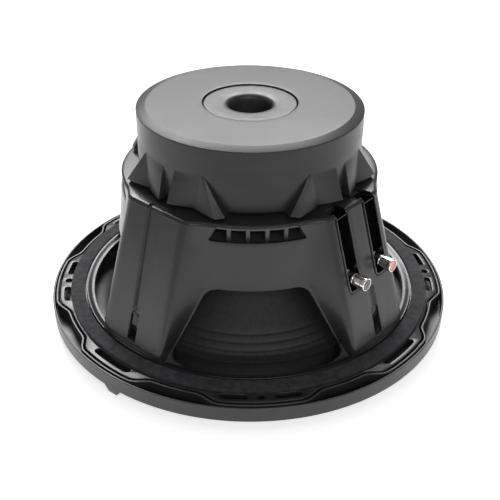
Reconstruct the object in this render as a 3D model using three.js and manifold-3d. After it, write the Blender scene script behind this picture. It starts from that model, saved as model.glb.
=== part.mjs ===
// Car subwoofer driver, 12 inch class, standing on its front ring with the magnet up.
// Units are millimetres and +Z is up. The origin is on the axis, at the front crest of the trim ring.
// Heights in the constants are counted from the outer front edge of the trim ring,
// which lies frontCrest above the origin.
// Azimuths are in degrees: 0 points along -Y, 90 along +X.

import * as THREE from "three";
import { mergeVertices } from "three/addons/utils/BufferGeometryUtils.js";
import { ConvexGeometry } from "three/addons/geometries/ConvexGeometry.js";
import Module from "manifold-3d";

const wasm = await Module();
wasm.setup();

// ---- driving dimensions ----
const gap = 0.3; // clearance kept between pieces that touch
const frontCrest = 8; // how far the trim ring's crest stands in front of its outer edge

const trimRadius = 164.5;
const trimWall = 1.6;
const trimRear = 13.1;
const trimStepRear = 7.7; // rear of the ring's inner part, behind which the surround is clamped
const badgeAzimuth = -42;
const trimCrestInner = 140.5;
const trimCrestOuter = 150;
const pocketFloor = 3;
const beadGap = 1.6;
const beadWidth = 1.8;

const flangeRear = 13.5;
const flangeThickness = 3.5;
const flangeInner = 135.5;
const lobeRadius = 158.5;
const valleyRadius = 151;
const boltRadius = 152.6;
const slotHalfWidth = 2.5;
const boltHoleRadius = 2.8;
const shortSlot = { offset: 7.3, halfAngle: 3.7 };
const longSlotHalfAngle = 7.1;

const gasketInner = 137.8;
const gasketOuter = 149.5;
const gasketThickness = 2.5;

const basketTop = 121;
const basketWall = 2.6;
const plateauInner = 62;
const legTopDistance = 101; // from the axis to the leg's flat face at the basket top
const legSlope = 0.323; // how much further out the leg's face is for each millimetre down
const legReach = 136.4; // furthest that a leg's corners reach at its foot
const grooveHalfWidth = 4.2;
const grooveTopHalfWidth = 8.4; // on the legs that hold no terminals
const grooveDepth = 1.5;
const grooveFoot = -84; // along the leg's face, from its top edge
const slotFoot = -105;
const channelDepth = 14;
const ventWindow = { low: 108, high: 119.9, halfLow: 35, halfHigh: 28.4 };
const legAzimuths = [45, 135, 225, 315];
const windowAzimuths = [0, 90, 180, 270];
const terminalLegs = [45, 225];

const boltCircleMotor = 70; // screws between the basket and the front plate
const motorScrewHoleRadius = 2.8;
const motorScrewAzimuths = [22.5, 112.5, 202.5, 292.5];

const poleRadius = 31.2;
const ventRadius = 16.2;
const formerInner = 31.8;
const formerOuter = 32.6;
const windingInner = formerOuter + gap;
const windingOuter = 35.3;
const windingFront = 112.3;
const windingMiddle = 126;
const windingRear = 140;
const formerFront = 74;
const formerRear = 141;
const frontPlateInner = 36.2;
const frontPlateOuter = 78;
const frontPlateRear = 131;
const magnetInner = 42;
const magnetOuter = 77;
const magnetMiddle = 142.8;
const shortingInner = 37.5;
const backPlateFront = 154.9;
const backPlateRear = 166.5;
const bossRadius = 35.6;
const bossRear = 171.4;

const bootRadius = 86.5;
const bootInner = 80.3;
const bootFront = 124;
const bootRear = 172.4;
const bootFlatRadius = 79.2;
const bootHole = 36.3;
const lugFoot = 123.5;
const lugTop = bootRadius + 0.1;
const lugFins = [
  [[lugTop, 25.9, 150], [lugTop, 41.2, 148.1], [94.3, 42.5, lugFoot], [89.2, 29, lugFoot]],
  [[lugTop, 25, 149.2], [89.4, 30.2, lugFoot], [98.8, 16.5, lugFoot], [90.8, 13.8, lugFoot]],
];

const coneEdge = 113;
const coneNeck = 34;
const coneEdgeHeight = 10;
const coneNeckHeight = 76;
const coneWall = 1.3;
const coneFlat = 7; // width of the flat edge that the surround is glued to
const coneCurve = 1.12; // how much the cone's slope steepens towards its neck
const dustCapRim = 60;
const dustCapRise = 22;
const rollRadius = 13; // half-round roll of the surround
const surroundHeight = 8.9;
const surroundWall = 1.4;
const spiderHeight = 102.7;
const spiderWave = 3.6;
const spiderWall = 1.2;
const spacerInner = 84;
const spacerOuter = 97.9;
const ribPitch = 8; // degrees between the spacer's ribs
const ribWidth = 2.8;

const terminalOffset = 17; // sideways from the leg's middle
const terminalHeight = 72;
const channelOffset = 16.6;
const channelHalfWidth = 7.8;
const channelFoot = -61.5; // along the leg's face, from its top edge
const housingTop = -3;
const housingHalfWidth = 26.5;
const housingDepth = 12.6; // of its back, behind the leg's face
const housingWall = 1.4;
const postReach = 124.9; // from the axis to a post's outer end
const capReach = 131;
const tinselRadius = 1.1;

const fineSegments = 60;
const ringSegments = 40;
const smallSegments = 10;

const degrees = Math.PI / 180;
const faceTilt = Math.atan(legSlope);

// ---- finishes: colour, roughness, metalness ----
const finishes = {
  blackPaint: ["#2b2b2d", 0.55, 0.2],
  mouldedBlack: ["#262628", 0.6, 0],
  softRubber: ["#3a3a3c", 0.65, 0],
  foam: ["#333234", 0.95, 0],
  paperCone: ["#1b1b1c", 0.8, 0],
  glossBlack: ["#0b0b0c", 0.2, 0],
  ferrite: ["#3b3c40", 0.6, 0.1],
  blackSteel: ["#3e3f42", 0.45, 0.8],
  zincSteel: ["#b9bcc0", 0.35, 0.9],
  nickel: ["#d6d8da", 0.15, 1],
  aluminium: ["#b7babd", 0.4, 0.9],
  copper: ["#7a3a22", 0.4, 0.8],
  poly: ["#54402c", 0.9, 0],
  redLacquer: ["#c0444c", 0.4, 0],
  blackLacquer: ["#111112", 0.3, 0],
  tinsel: ["#8d8a80", 0.45, 0.7],
};

const speaker = new THREE.Group();
speaker.position.z = frontCrest;

// ---- shared helpers ----
function add(name, geometry, finish, matrix) {
  const [color, roughness, metalness] = finishes[finish];
  const material = new THREE.MeshStandardMaterial({ color, roughness, metalness });
  const mesh = new THREE.Mesh(geometry, material);
  mesh.name = name;
  if (matrix) mesh.applyMatrix4(matrix);
  speaker.add(mesh);
}

function signedVolume(geometry) {
  const p = geometry.attributes.position;
  const index = geometry.index.array;
  const [a, b, c] = [new THREE.Vector3(), new THREE.Vector3(), new THREE.Vector3()];
  let volume = 0;
  for (let i = 0; i < index.length; i += 3) {
    a.fromBufferAttribute(p, index[i]);
    b.fromBufferAttribute(p, index[i + 1]);
    c.fromBufferAttribute(p, index[i + 2]);
    volume += a.dot(b.cross(c)) / 6;
  }
  return volume;
}

// Merges shared corners and turns the faces outwards.
function closed(geometry) {
  const bare = new THREE.BufferGeometry();
  bare.setAttribute("position", geometry.attributes.position);
  bare.setIndex(geometry.index);
  const merged = mergeVertices(bare, 1e-4);
  if (signedVolume(merged) < 0) {
    const index = merged.index.array;
    for (let i = 0; i < index.length; i += 3) {
      [index[i + 1], index[i + 2]] = [index[i + 2], index[i + 1]];
    }
  }
  return merged;
}

function toSolid(geometry) {
  const g = closed(geometry);
  const vertProperties = new Float32Array(g.attributes.position.array);
  const triVerts = new Uint32Array(g.index.array);
  return new wasm.Manifold(new wasm.Mesh({ numProp: 3, vertProperties, triVerts }));
}

function toGeometry(solid) {
  const mesh = solid.getMesh();
  const geometry = new THREE.BufferGeometry();
  geometry.setAttribute("position", new THREE.BufferAttribute(mesh.vertProperties, 3));
  geometry.setIndex(new THREE.BufferAttribute(mesh.triVerts, 1));
  return geometry;
}

// A ring or disc turned about Z from [radius, height] points; the outline closes on itself.
function turned(points, segments = ringSegments) {
  const outline = points.map(([r, z]) => new THREE.Vector2(r, z));
  outline.push(outline[0].clone());
  const geometry = new THREE.LatheGeometry(outline, segments);
  geometry.rotateX(Math.PI / 2);
  return closed(geometry);
}

// A disc whose outline starts and ends on the axis.
function turnedSolid(points, segments = ringSegments) {
  const outline = points.map(([r, z]) => new THREE.Vector2(r, z));
  const geometry = new THREE.LatheGeometry(outline, segments);
  geometry.rotateX(Math.PI / 2);
  return closed(geometry);
}

function plainRing(inner, outer, low, high, segments) {
  return turned([[inner, low], [outer, low], [outer, high], [inner, high]], segments);
}

function extruded(shape, depth, low = 0, curveSegments = 8) {
  const geometry = new THREE.ExtrudeGeometry(shape, { depth, bevelEnabled: false, curveSegments });
  return geometry.translate(0, 0, low);
}

function around(radius, azimuth, height) {
  const a = azimuth * degrees;
  return new THREE.Vector3(radius * Math.sin(a), -radius * Math.cos(a), height);
}

// A frame whose x runs sideways (towards growing azimuth), y up and z outwards at an azimuth.
function outwardFrame(azimuth, distance, height, tilt = 0) {
  const side = around(1, azimuth + 90, 0);
  const out = around(1, azimuth, 0);
  const up = new THREE.Vector3(0, 0, 1);
  const yAxis = up.clone().multiplyScalar(Math.cos(tilt)).addScaledVector(out, -Math.sin(tilt));
  const zAxis = out.clone().multiplyScalar(Math.cos(tilt)).addScaledVector(up, Math.sin(tilt));
  const matrix = new THREE.Matrix4().makeBasis(side, yAxis, zAxis);
  return matrix.setPosition(around(distance, azimuth, height));
}

// A leg's face: y = 0 at its top edge, z = 0 on the face.
function legFrame(azimuth) {
  return outwardFrame(azimuth, legTopDistance, basketTop, faceTilt);
}

function faceDistance(height) {
  return legTopDistance + (basketTop - height) * legSlope;
}

function roundedPolygon(corners, radius) {
  const shape = new THREE.Shape();
  corners.forEach(([x, y], i) => {
    const before = corners[(i + corners.length - 1) % corners.length];
    const after = corners[(i + 1) % corners.length];
    const enter = pointTowards([x, y], before, radius);
    const leave = pointTowards([x, y], after, radius);
    if (i === 0) shape.moveTo(...enter);
    else shape.lineTo(...enter);
    shape.quadraticCurveTo(x, y, ...leave);
  });
  shape.closePath();
  return shape;
}

function pointTowards([x, y], [tx, ty], distance) {
  const length = Math.hypot(tx - x, ty - y);
  return [x + ((tx - x) * distance) / length, y + ((ty - y) * distance) / length];
}

// ---- flange outline: eight lobes for the mounting bolts, every second one with one long slot ----
function lobeHalfAngles(index) {
  return index % 2 === 0 ? { outer: 11.5, foot: 16.5 } : { outer: 9.7, foot: 13.8 };
}

function flangePoints(offset = 0) {
  const points = [];
  const widen = 0.094 * offset; // degrees that keep an outward offset even along the lobes' sloping ends
  const toPoint = (radius, azimuth) => {
    const p = around(radius + offset, azimuth, 0);
    points.push(new THREE.Vector2(p.x, p.y));
  };
  for (let k = 0; k < 8; k += 1) {
    const { outer, foot } = lobeHalfAngles(k);
    const next = lobeHalfAngles(k + 1);
    const centre = 45 * k;
    const lobeSteps = 3;
    for (let i = 0; i <= lobeSteps; i += 1) {
      toPoint(lobeRadius, centre + (outer + widen) * ((2 * i) / lobeSteps - 1));
    }
    const start = centre + foot + widen;
    const end = centre + 45 - next.foot - widen;
    const valleySteps = 2;
    for (let i = 0; i <= valleySteps; i += 1) {
      toPoint(valleyRadius, start + ((end - start) * i) / valleySteps);
    }
  }
  return points;
}

function arcSlot(centre, halfAngle, radius, halfWidth) {
  const points = [];
  const steps = 2;
  const push = (r, azimuth) => {
    const p = around(r, azimuth, 0);
    points.push(new THREE.Vector2(p.x, p.y));
  };
  const roundEnd = (halfWidth / radius) / degrees;
  for (const side of [1, -1]) {
    for (let i = 0; i <= steps; i += 1) {
      push(radius + side * halfWidth, centre + side * (halfAngle - roundEnd) * ((2 * i) / steps - 1));
    }
    push(radius + side * halfWidth * 0.7, centre + side * (halfAngle - roundEnd * 0.3));
    push(radius, centre + side * halfAngle);
    push(radius - side * halfWidth * 0.7, centre + side * (halfAngle - roundEnd * 0.3));
  }
  return new THREE.Path(points);
}

function circlePath(x, y, radius) {
  const path = new THREE.Path();
  path.absarc(x, y, radius, 0, Math.PI * 2, true);
  return path;
}

function flangePlate() {
  const shape = new THREE.Shape(flangePoints());
  const inner = [];
  for (let i = 0; i < ringSegments; i += 1) {
    const p = around(flangeInner, (-360 * i) / ringSegments, 0);
    inner.push(new THREE.Vector2(p.x, p.y));
  }
  shape.holes.push(new THREE.Path(inner));
  for (let k = 0; k < 8; k += 1) {
    const centre = 45 * k;
    if (k % 2 === 0) {
      const { offset, halfAngle } = shortSlot;
      shape.holes.push(arcSlot(centre - offset, halfAngle, boltRadius, slotHalfWidth));
      shape.holes.push(arcSlot(centre + offset, halfAngle, boltRadius, slotHalfWidth));
      const p = around(boltRadius, centre, 0);
      shape.holes.push(circlePath(p.x, p.y, boltHoleRadius));
    } else {
      shape.holes.push(arcSlot(centre, longSlotHalfAngle, boltRadius, slotHalfWidth));
    }
  }
  return toSolid(extruded(shape, flangeThickness, flangeRear - flangeThickness, 3));
}

// ---- basket: one pressed shell with four box-section legs ----
// A level is one closed line round the shell. Its strap part is a circle of the given radius, its leg part
// is a flat face at a distance from the axis, and a sloping flank joins the two.
function level(strap, leg, flankSide, legHalf, most = Infinity) {
  return { strap, leg, flankSide, legHalf, most };
}

function circleLevel(radius, height) {
  return { circle: radius, height };
}

function flankSideAt(height) {
  const share = THREE.MathUtils.clamp((72 - height) / 55, 0, 1);
  return 36 + 29 * share;
}

function legHalfAt(height) {
  return 28.7 + ((basketTop - height) / 99) * 4.3;
}

function strapRadiusAt(height) {
  if (height > 108) return 100.9 + (basketTop - height) * 0.03;
  if (height > 72) return 101.3 + (108 - height) * 0.108;
  return 105.2 + (72 - height) * 0.347;
}

function wallLevel(height, inset = 0, sideInset = 0) {
  const strap = [strapRadiusAt(height) - inset, height];
  const leg = [faceDistance(height) - inset, height];
  return level(strap, leg, flankSideAt(height) - sideInset, legHalfAt(height) - sideInset, legReach - inset);
}

function outerLevels() {
  return [
    circleLevel(plateauInner, basketTop),
    level([98.2, basketTop], [98.4, basketTop], 35.4, 28),
    level([100.1, basketTop - 0.9], [100.4, basketTop - 0.9], 35.8, 28.4),
    ...[118, 108, 72, 45, 20.5].map((z) => wallLevel(z)),
    level([126.4, 18.4], [134, 18.4], 65.6, 33, legReach),
    level([131, 13.9], [135, 16.4], 68, 33, 136.5),
    circleLevel(136.6, 16.7),
    circleLevel(137, 13.1),
    circleLevel(141, 13.1),
  ];
}

function innerLevels() {
  return [
    circleLevel(141, 10.5),
    circleLevel(135.9, 10.6),
    level([130.6, 10.9], [132, 12.6], 66, 30.6, 133.6),
    level([125.6, 14.6], [131.4, 15.6], 64, 30.4, 133.8),
    ...[20, 45, 72, 108].map((z) => wallLevel(z, basketWall, 1.2)),
    level([98.3, basketTop - basketWall], [98.2, basketTop - basketWall], 34.6, 27),
    circleLevel(plateauInner, basketTop - basketWall),
  ];
}

// Points of a level from the middle of one window to the middle of the next.
function quarterPoints(line) {
  const strapSteps = 3;
  const flankSteps = 1;
  const faceSteps = 1;
  const half = [];
  const circleAngles = [];
  for (let i = 0; i < strapSteps; i += 1) circleAngles.push((24 * i) / strapSteps);
  for (let i = 0; i < flankSteps; i += 1) circleAngles.push(24 + (5.5 * i) / flankSteps);
  for (let i = 0; i <= faceSteps; i += 1) circleAngles.push(29.5 + (15.5 * i) / faceSteps);
  if (line.circle) {
    for (const angle of circleAngles) half.push(around(line.circle, angle, line.height));
  } else {
    const [strapRadius, strapHeight] = line.strap;
    const [legDistance, legHeight] = line.leg;
    const flankAngle = Math.asin(line.flankSide / strapRadius) / degrees;
    for (let i = 0; i < strapSteps; i += 1) {
      half.push(around(strapRadius, (flankAngle * i) / strapSteps, strapHeight));
    }
    const foot = around(strapRadius, flankAngle, strapHeight);
    const facePoint = (side) => {
      const azimuth = 45 - Math.atan(side / legDistance) / degrees;
      const radius = Math.min(Math.hypot(side, legDistance), line.most);
      return around(radius, azimuth, legHeight);
    };
    const edge = facePoint(line.legHalf);
    for (let i = 0; i < flankSteps; i += 1) {
      half.push(foot.clone().lerp(edge, i / flankSteps));
    }
    for (let i = 0; i <= faceSteps; i += 1) {
      half.push(facePoint(line.legHalf * (1 - i / faceSteps)));
    }
  }
  const mirrored = half.slice(1, -1).reverse().map((p) => mirrorInLeg(p));
  return [...half, ...mirrored];
}

// Mirrors a point in the upright plane through the leg at azimuth 45.
function mirrorInLeg(p) {
  return new THREE.Vector3(-p.y, -p.x, p.z);
}

function levelPoints(line) {
  const quarter = quarterPoints(line);
  const points = [];
  for (let k = 0; k < 4; k += 1) {
    const turn = new THREE.Matrix4().makeRotationZ((k * Math.PI) / 2);
    for (const p of quarter) points.push(p.clone().applyMatrix4(turn));
  }
  return points;
}

// Joins closed lines of equal length, the last one back to the first, into one closed surface.
function lofted(lines) {
  const count = lines[0].length;
  const positions = lines.flatMap((line) => line.flatMap((p) => [p.x, p.y, p.z]));
  const index = [];
  for (let j = 0; j < lines.length; j += 1) {
    const next = (j + 1) % lines.length;
    for (let i = 0; i < count; i += 1) {
      const right = (i + 1) % count;
      const [a, b, c, d] = [j * count + i, j * count + right, next * count + right, next * count + i];
      index.push(a, b, c, a, c, d);
    }
  }
  const geometry = new THREE.BufferGeometry();
  geometry.setAttribute("position", new THREE.Float32BufferAttribute(positions, 3));
  geometry.setIndex(index);
  return closed(geometry);
}

// A cutter with the given outline, pushed outwards through the wall at an azimuth.
function wallCutter(shape, azimuth, from, to) {
  const geometry = extruded(shape, to - from, from, 2);
  return toSolid(geometry.applyMatrix4(outwardFrame(azimuth, 0, 0)));
}

function legCutter(shape, azimuth, from, to) {
  const geometry = extruded(shape, to - from, from, 2);
  return toSolid(geometry.applyMatrix4(legFrame(azimuth)));
}

function coneWindowShape() {
  return roundedPolygon([[-64, 17.2], [64, 17.2], [35.5, 71], [-35.5, 71]], 7);
}

function ventWindowShape() {
  const { low, high, halfLow, halfHigh } = ventWindow;
  return roundedPolygon([[-halfLow, low], [halfLow, low], [halfHigh, high], [-halfHigh, high]], 1);
}

function upright(halfWidth, low, high, radius, middle = 0) {
  const left = middle - halfWidth;
  const right = middle + halfWidth;
  return roundedPolygon([[left, low], [right, low], [right, high], [left, high]], radius);
}

function grooveShape(top, topHalfWidth) {
  return roundedPolygon([
    [-grooveHalfWidth, grooveFoot],
    [grooveHalfWidth, grooveFoot],
    [topHalfWidth, top],
    [-topHalfWidth, top],
  ], 0.5);
}

function channelOpening(side) {
  return upright(channelHalfWidth, channelFoot, 8, 3.5, side * channelOffset);
}

function motorScrewHole(azimuth) {
  const p = around(boltCircleMotor, azimuth, 0);
  const wide = motorScrewHoleRadius;
  const geometry = turnedSolid([[0, 112], [wide, 112], [wide, 130], [0, 130]], smallSegments);
  return toSolid(geometry.translate(p.x, p.y, 0));
}

function basket() {
  const lines = [...outerLevels(), ...innerLevels()].map((line) => levelPoints(line));
  let solid = toSolid(lofted(lines)).add(flangePlate());
  for (const azimuth of windowAzimuths) {
    solid = solid.subtract(wallCutter(coneWindowShape(), azimuth, 96, 150));
    solid = solid.subtract(wallCutter(ventWindowShape(), azimuth, 92, 110));
  }
  for (const azimuth of legAzimuths) {
    const holdsTerminals = terminalLegs.includes(azimuth);
    solid = solid.subtract(legCutter(upright(grooveHalfWidth, slotFoot, grooveFoot, 0.5), azimuth, -9, 9));
    const groove = holdsTerminals
      ? grooveShape(channelFoot - 4.5, grooveHalfWidth)
      : grooveShape(4, grooveTopHalfWidth);
    solid = solid.subtract(legCutter(groove, azimuth, -grooveDepth, 9));
    if (holdsTerminals) {
      solid = solid.subtract(legCutter(channelOpening(1), azimuth, -channelDepth, 9));
      solid = solid.subtract(legCutter(channelOpening(-1), azimuth, -channelDepth, 9));
    }
  }
  for (const azimuth of motorScrewAzimuths) solid = solid.subtract(motorScrewHole(azimuth));
  return toGeometry(solid);
}

// ---- trim ring on the front, with a bead that follows the flange ----
function trimRing() {
  const body = turned([
    [trimCrestInner, -frontCrest],
    [trimCrestOuter, -frontCrest],
    [161, -1.6],
    [163.4, 0],
    [trimRadius, 1.2],
    [trimRadius, trimRear - 0.5],
    [trimRadius - 0.5, trimRear],
    [trimRadius - trimWall, trimRear],
    [trimRadius - trimWall, pocketFloor],
    [trimCrestOuter + 1.5, pocketFloor],
    [trimCrestOuter + 1.5, trimStepRear],
    [trimCrestInner, trimStepRear],
  ], fineSegments);
  const bead = new THREE.Shape(flangePoints(beadGap + beadWidth));
  bead.holes.push(new THREE.Path(flangePoints(beadGap).reverse()));
  const beadDepth = trimRear + 0.5 - (pocketFloor - 1);
  const pad = new ConvexGeometry(badgePadCorners());
  return toGeometry(
    toSolid(body).add(toSolid(extruded(bead, beadDepth, pocketFloor - 1))).add(toSolid(pad)),
  );
}

// A plain pad for a badge, moulded on the front of the ring and level with its crest.
function badgePadCorners() {
  const corners = [];
  for (const side of [-1, 1]) {
    corners.push(around(149, badgeAzimuth + side * 1.5, -frontCrest));
    corners.push(around(161.4, badgeAzimuth + side * 1.5, -frontCrest));
    corners.push(around(149, badgeAzimuth + side * 2.6, -3));
    corners.push(around(163.6, badgeAzimuth + side * 2.6, 1.5));
  }
  return corners;
}

// ---- soft suspension and cone ----
function coneHeight(radius) {
  const share = (coneEdge - coneFlat - radius) / (coneEdge - coneFlat - coneNeck);
  return coneEdgeHeight + (coneNeckHeight - coneEdgeHeight) * Math.max(share, 0) ** coneCurve;
}

function cone() {
  const radii = [coneNeck + 1.5, 56, 82, coneEdge - coneFlat];
  const rear = radii.map((r) => [r, coneHeight(r) + coneWall]);
  const front = radii.map((r) => [r, coneHeight(r)]).reverse();
  const neck = formerOuter + gap;
  return turned([
    [neck, coneNeckHeight - 3],
    [neck, coneNeckHeight + 4],
    [neck + 1.2, coneNeckHeight + 4],
    ...rear,
    [coneEdge, coneEdgeHeight + coneWall],
    [coneEdge, coneEdgeHeight],
    ...front,
  ], 36);
}

function dustCap() {
  const rim = dustCapRim;
  const rimHeight = coneHeight(rim) - gap;
  const outside = [];
  const inside = [];
  const steps = 4;
  for (let i = 0; i <= steps; i += 1) {
    const share = i / steps;
    const drop = dustCapRise * (1 - share * share);
    outside.push([rim * share, rimHeight - 2.6 - drop]);
    inside.push([(rim - 1.5) * share, rimHeight - 1.3 - drop]);
  }
  return turnedSolid([...outside, [rim + 0.8, rimHeight - 1.6], ...inside.reverse()], 36);
}

function surround() {
  const middle = coneEdge + rollRadius;
  const wall = surroundWall / 2;
  const outside = [];
  const inside = [];
  const steps = 5;
  for (let i = 0; i <= steps; i += 1) {
    const angle = Math.PI * (1 - i / steps);
    const [c, s] = [Math.cos(angle), Math.sin(angle)];
    outside.push([middle + (rollRadius + wall) * c, surroundHeight - (rollRadius + wall) * s]);
    inside.push([middle + (rollRadius - wall) * c, surroundHeight - (rollRadius - wall) * s]);
  }
  const flapEdge = coneEdge - coneFlat;
  const innerFlap = [[flapEdge, surroundHeight + wall], [flapEdge, surroundHeight - wall]];
  const outerFlap = [[149.6, surroundHeight - wall], [149.6, surroundHeight + wall]];
  return turned([...innerFlap, ...outside, ...outerFlap, ...inside.reverse()], 36);
}

function spider() {
  const low = [];
  const high = [];
  const wall = spiderWall / 2;
  const collar = formerOuter + gap;
  const waves = 3;
  const first = 38;
  const last = 81;
  for (let i = 0; i <= waves * 2; i += 1) {
    const radius = first + ((last - first) * i) / (waves * 2);
    const height = spiderHeight - (i % 2 === 0 ? 0 : spiderWave);
    low.push([radius, height - wall]);
    high.push([radius, height + wall]);
  }
  const landing = [[88, spiderHeight - wall], [88, spiderHeight + 0.5]];
  const neck = [[collar, 107], [collar, 101], [collar + 1.6, 101]];
  return turned([...neck, ...low, ...landing, ...high.reverse(), [collar + 1.6, 107]], 28);
}

function spacerRing() {
  const wide = plainRing(spacerInner, spacerOuter, 103.6, 106.4, ringSegments);
  const top = plainRing(spacerInner, spacerOuter, 116.2, basketTop - basketWall - gap, ringSegments);
  let solid = toSolid(wide).add(toSolid(top));
  for (let azimuth = -20; azimuth < 340; azimuth += ribPitch) {
    const fromWindow = ((azimuth + 45) % 90) - 45;
    if (Math.abs(fromWindow) > 21) continue;
    const rib = new THREE.BoxGeometry(ribWidth, 12, 5).translate(0, 111, 94.6);
    solid = solid.add(toSolid(rib.applyMatrix4(outwardFrame(azimuth, 0, 0))));
  }
  for (const azimuth of [45, 135, 225, 315]) {
    const post = new THREE.BoxGeometry(30, 12, 2).translate(0, 111, 85.2);
    solid = solid.add(toSolid(post.applyMatrix4(outwardFrame(azimuth, 0, 0))));
  }
  for (const azimuth of terminalLegs) {
    const room = new THREE.BoxGeometry(62, 40, 30).translate(0, 112, 103);
    solid = solid.subtract(toSolid(room.applyMatrix4(outwardFrame(azimuth, 0, 0))));
  }
  return toGeometry(solid);
}

// ---- motor ----
function frontPlate() {
  let solid = toSolid(plainRing(frontPlateInner, frontPlateOuter, basketTop + gap, frontPlateRear));
  for (const azimuth of motorScrewAzimuths) solid = solid.subtract(motorScrewHole(azimuth));
  return toGeometry(solid);
}

function backPlate() {
  return turned([
    [ventRadius, 121],
    [19, 118],
    [29.5, 118],
    [poleRadius, 119.7],
    [poleRadius, backPlateFront],
    [76, backPlateFront],
    [76, backPlateRear],
    [bossRadius, backPlateRear],
    [bossRadius, bossRear - 0.8],
    [bossRadius - 0.8, bossRear - 0.1],
    [27, bossRear],
    [22.5, bossRear - 0.5],
    [18.8, bossRear - 1.7],
    [16.8, bossRear - 3.8],
    [ventRadius, bossRear - 7],
  ], 36);
}

// One fin of a rubber lug, from its outer corners: radius, degrees from the window's middle, height.
function lugFin(corners, windowAzimuth, side) {
  const inside = bootInner + 2;
  const points = corners.flatMap(([radius, angle, height]) => {
    const azimuth = windowAzimuth + side * angle;
    return [around(radius, azimuth, height), around(inside, azimuth, height)];
  });
  return new ConvexGeometry(points);
}

function boot() {
  let solid = toSolid(turned([
    [bootRadius, bootFront],
    [bootRadius, bootRear - 2.1],
    [bootRadius - 0.4, bootRear - 1.8],
    [bootFlatRadius, bootRear],
    [bootHole + 0.4, bootRear],
    [bootHole, bootRear - 0.4],
    [bootHole, backPlateRear + gap],
    [76.5, backPlateRear + gap],
    [bootInner, backPlateRear - 2],
    [bootInner, bootFront],
  ]));
  for (const azimuth of windowAzimuths) {
    for (const corners of lugFins) {
      solid = solid.add(toSolid(lugFin(corners, azimuth, 1)));
      solid = solid.add(toSolid(lugFin(corners, azimuth, -1)));
    }
  }
  return toGeometry(solid);
}

function motorScrew() {
  return turnedSolid([
    [0, 128], [2.4, 128], [2.4, 118.1], [4.6, 118.1], [4.6, 115.4], [3.6, 114.4], [0, 114.4],
  ], 12);
}

// ---- terminals on two opposite legs ----
function terminalHousing() {
  const plate = upright(housingHalfWidth, channelFoot - 4.5, housingTop, 3);
  let solid = toSolid(extruded(plate, 2.5, -housingDepth, 3));
  for (const side of [-1, 1]) {
    const half = channelHalfWidth - gap;
    const foot = channelFoot + gap;
    const outside = upright(half, foot, housingTop, 3.2, side * channelOffset);
    const inside = upright(half - housingWall, foot + housingWall, 12, 2, side * channelOffset);
    const trough = toSolid(extruded(outside, 11.6, -11, 3)).subtract(toSolid(extruded(inside, 14, -10.1, 3)));
    solid = solid.add(trough);
  }
  const toLeg = legFrame(0).invert();
  for (const side of [-1, 1]) {
    const shaft = turnedSolid([[0, 90], [3.1, 90], [3.1, 112], [0, 112]], smallSegments);
    const placed = shaft.translate(side * terminalOffset, terminalHeight, 0);
    const hole = placed.applyMatrix4(toLeg.clone().multiply(outwardFrame(0, 0, 0)));
    solid = solid.subtract(toSolid(hole));
  }
  return toGeometry(solid);
}

// Lays a piece turned from [radius, distance from the speaker's axis] points along a terminal.
function terminalMatrix(azimuth, side) {
  const shift = new THREE.Matrix4().makeTranslation(side * terminalOffset, terminalHeight, 0);
  return outwardFrame(azimuth, 0, 0).multiply(shift);
}

function terminalPost() {
  return turnedSolid([
    [0, 96.5], [2.2, 96.5], [2.8, 97.1], [2.8, 109], [5.4, 109], [5.4, 111.6],
    [4.3, 111.6], [4.3, postReach - 0.5], [3.8, postReach], [0, postReach],
  ], smallSegments);
}

function terminalCap() {
  return turnedSolid([
    [0, 128.3], [4.7, 128.3], [4.7, 115], [5.3, 115], [5.3, 127.2], [5.8, 127.6],
    [5.8, capReach - 0.4], [5.4, capReach], [4.4, capReach], [4.4, capReach - 1.2], [0, capReach - 1.2],
  ], smallSegments);
}

function terminalMarker() {
  const [seat, end] = [capReach - 0.9, capReach];
  return turnedSolid([[0, seat], [4.1, seat], [4.1, end - 0.2], [3.9, end], [0, end]], smallSegments);
}

// ---- tinsel lead from a terminal's tail to the voice coil, hanging in a shallow bow ----
function tinselLead(azimuth, side) {
  const frame = outwardFrame(azimuth, 0, 0);
  const stops = [
    [side * 17, 72, 96.1],
    [side * 17, 71.6, 92],
    [side * 17.6, 68, 84],
    [side * 19, 64, 73],
    [side * 21, 63.6, 61],
    [side * 22, 68, 49],
    [side * 21.4, 76, 39],
    [side * 20.4, 84, 31],
    [side * 20, 92, 28.2],
  ];
  const route = new THREE.CatmullRomCurve3(stops.map((s) => new THREE.Vector3(...s).applyMatrix4(frame)));
  const section = new THREE.Shape();
  section.absarc(0, 0, tinselRadius, 0, Math.PI * 2);
  return new THREE.ExtrudeGeometry(section, { steps: 14, curveSegments: 4, extrudePath: route });
}

// ---- assembly ----
add("trim_ring", trimRing(), "mouldedBlack");
add("basket", basket(), "blackPaint");
const gasketFront = flangeRear + gap;
add("rear_gasket", plainRing(gasketInner, gasketOuter, gasketFront, gasketFront + gasketThickness), "foam");
add("surround", surround(), "softRubber");
add("cone", cone(), "paperCone");
add("dust_cap", dustCap(), "paperCone");
add("spider", spider(), "poly");
add("spacer_ring", spacerRing(), "mouldedBlack");
add("coil_former", plainRing(formerInner, formerOuter, formerFront, formerRear, 36), "aluminium");
add("winding_front", plainRing(windingInner, windingOuter, windingFront, windingMiddle, 36), "copper");
add("winding_rear", plainRing(windingInner, windingOuter, windingMiddle + 0.4, windingRear, 36), "copper");
add("front_plate", frontPlate(), "zincSteel");
add("magnet_front", plainRing(magnetInner, magnetOuter, frontPlateRear + gap, magnetMiddle), "ferrite");
add("magnet_rear", plainRing(magnetInner, magnetOuter, magnetMiddle + gap, backPlateFront - gap), "ferrite");
const shortingFront = magnetMiddle + 2 * gap;
const shortingRing = plainRing(shortingInner, magnetInner - gap, shortingFront, backPlateFront - gap, 36);
add("shorting_ring", shortingRing, "aluminium");
add("back_plate", backPlate(), "blackSteel");
add("magnet_boot", boot(), "softRubber");

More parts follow.
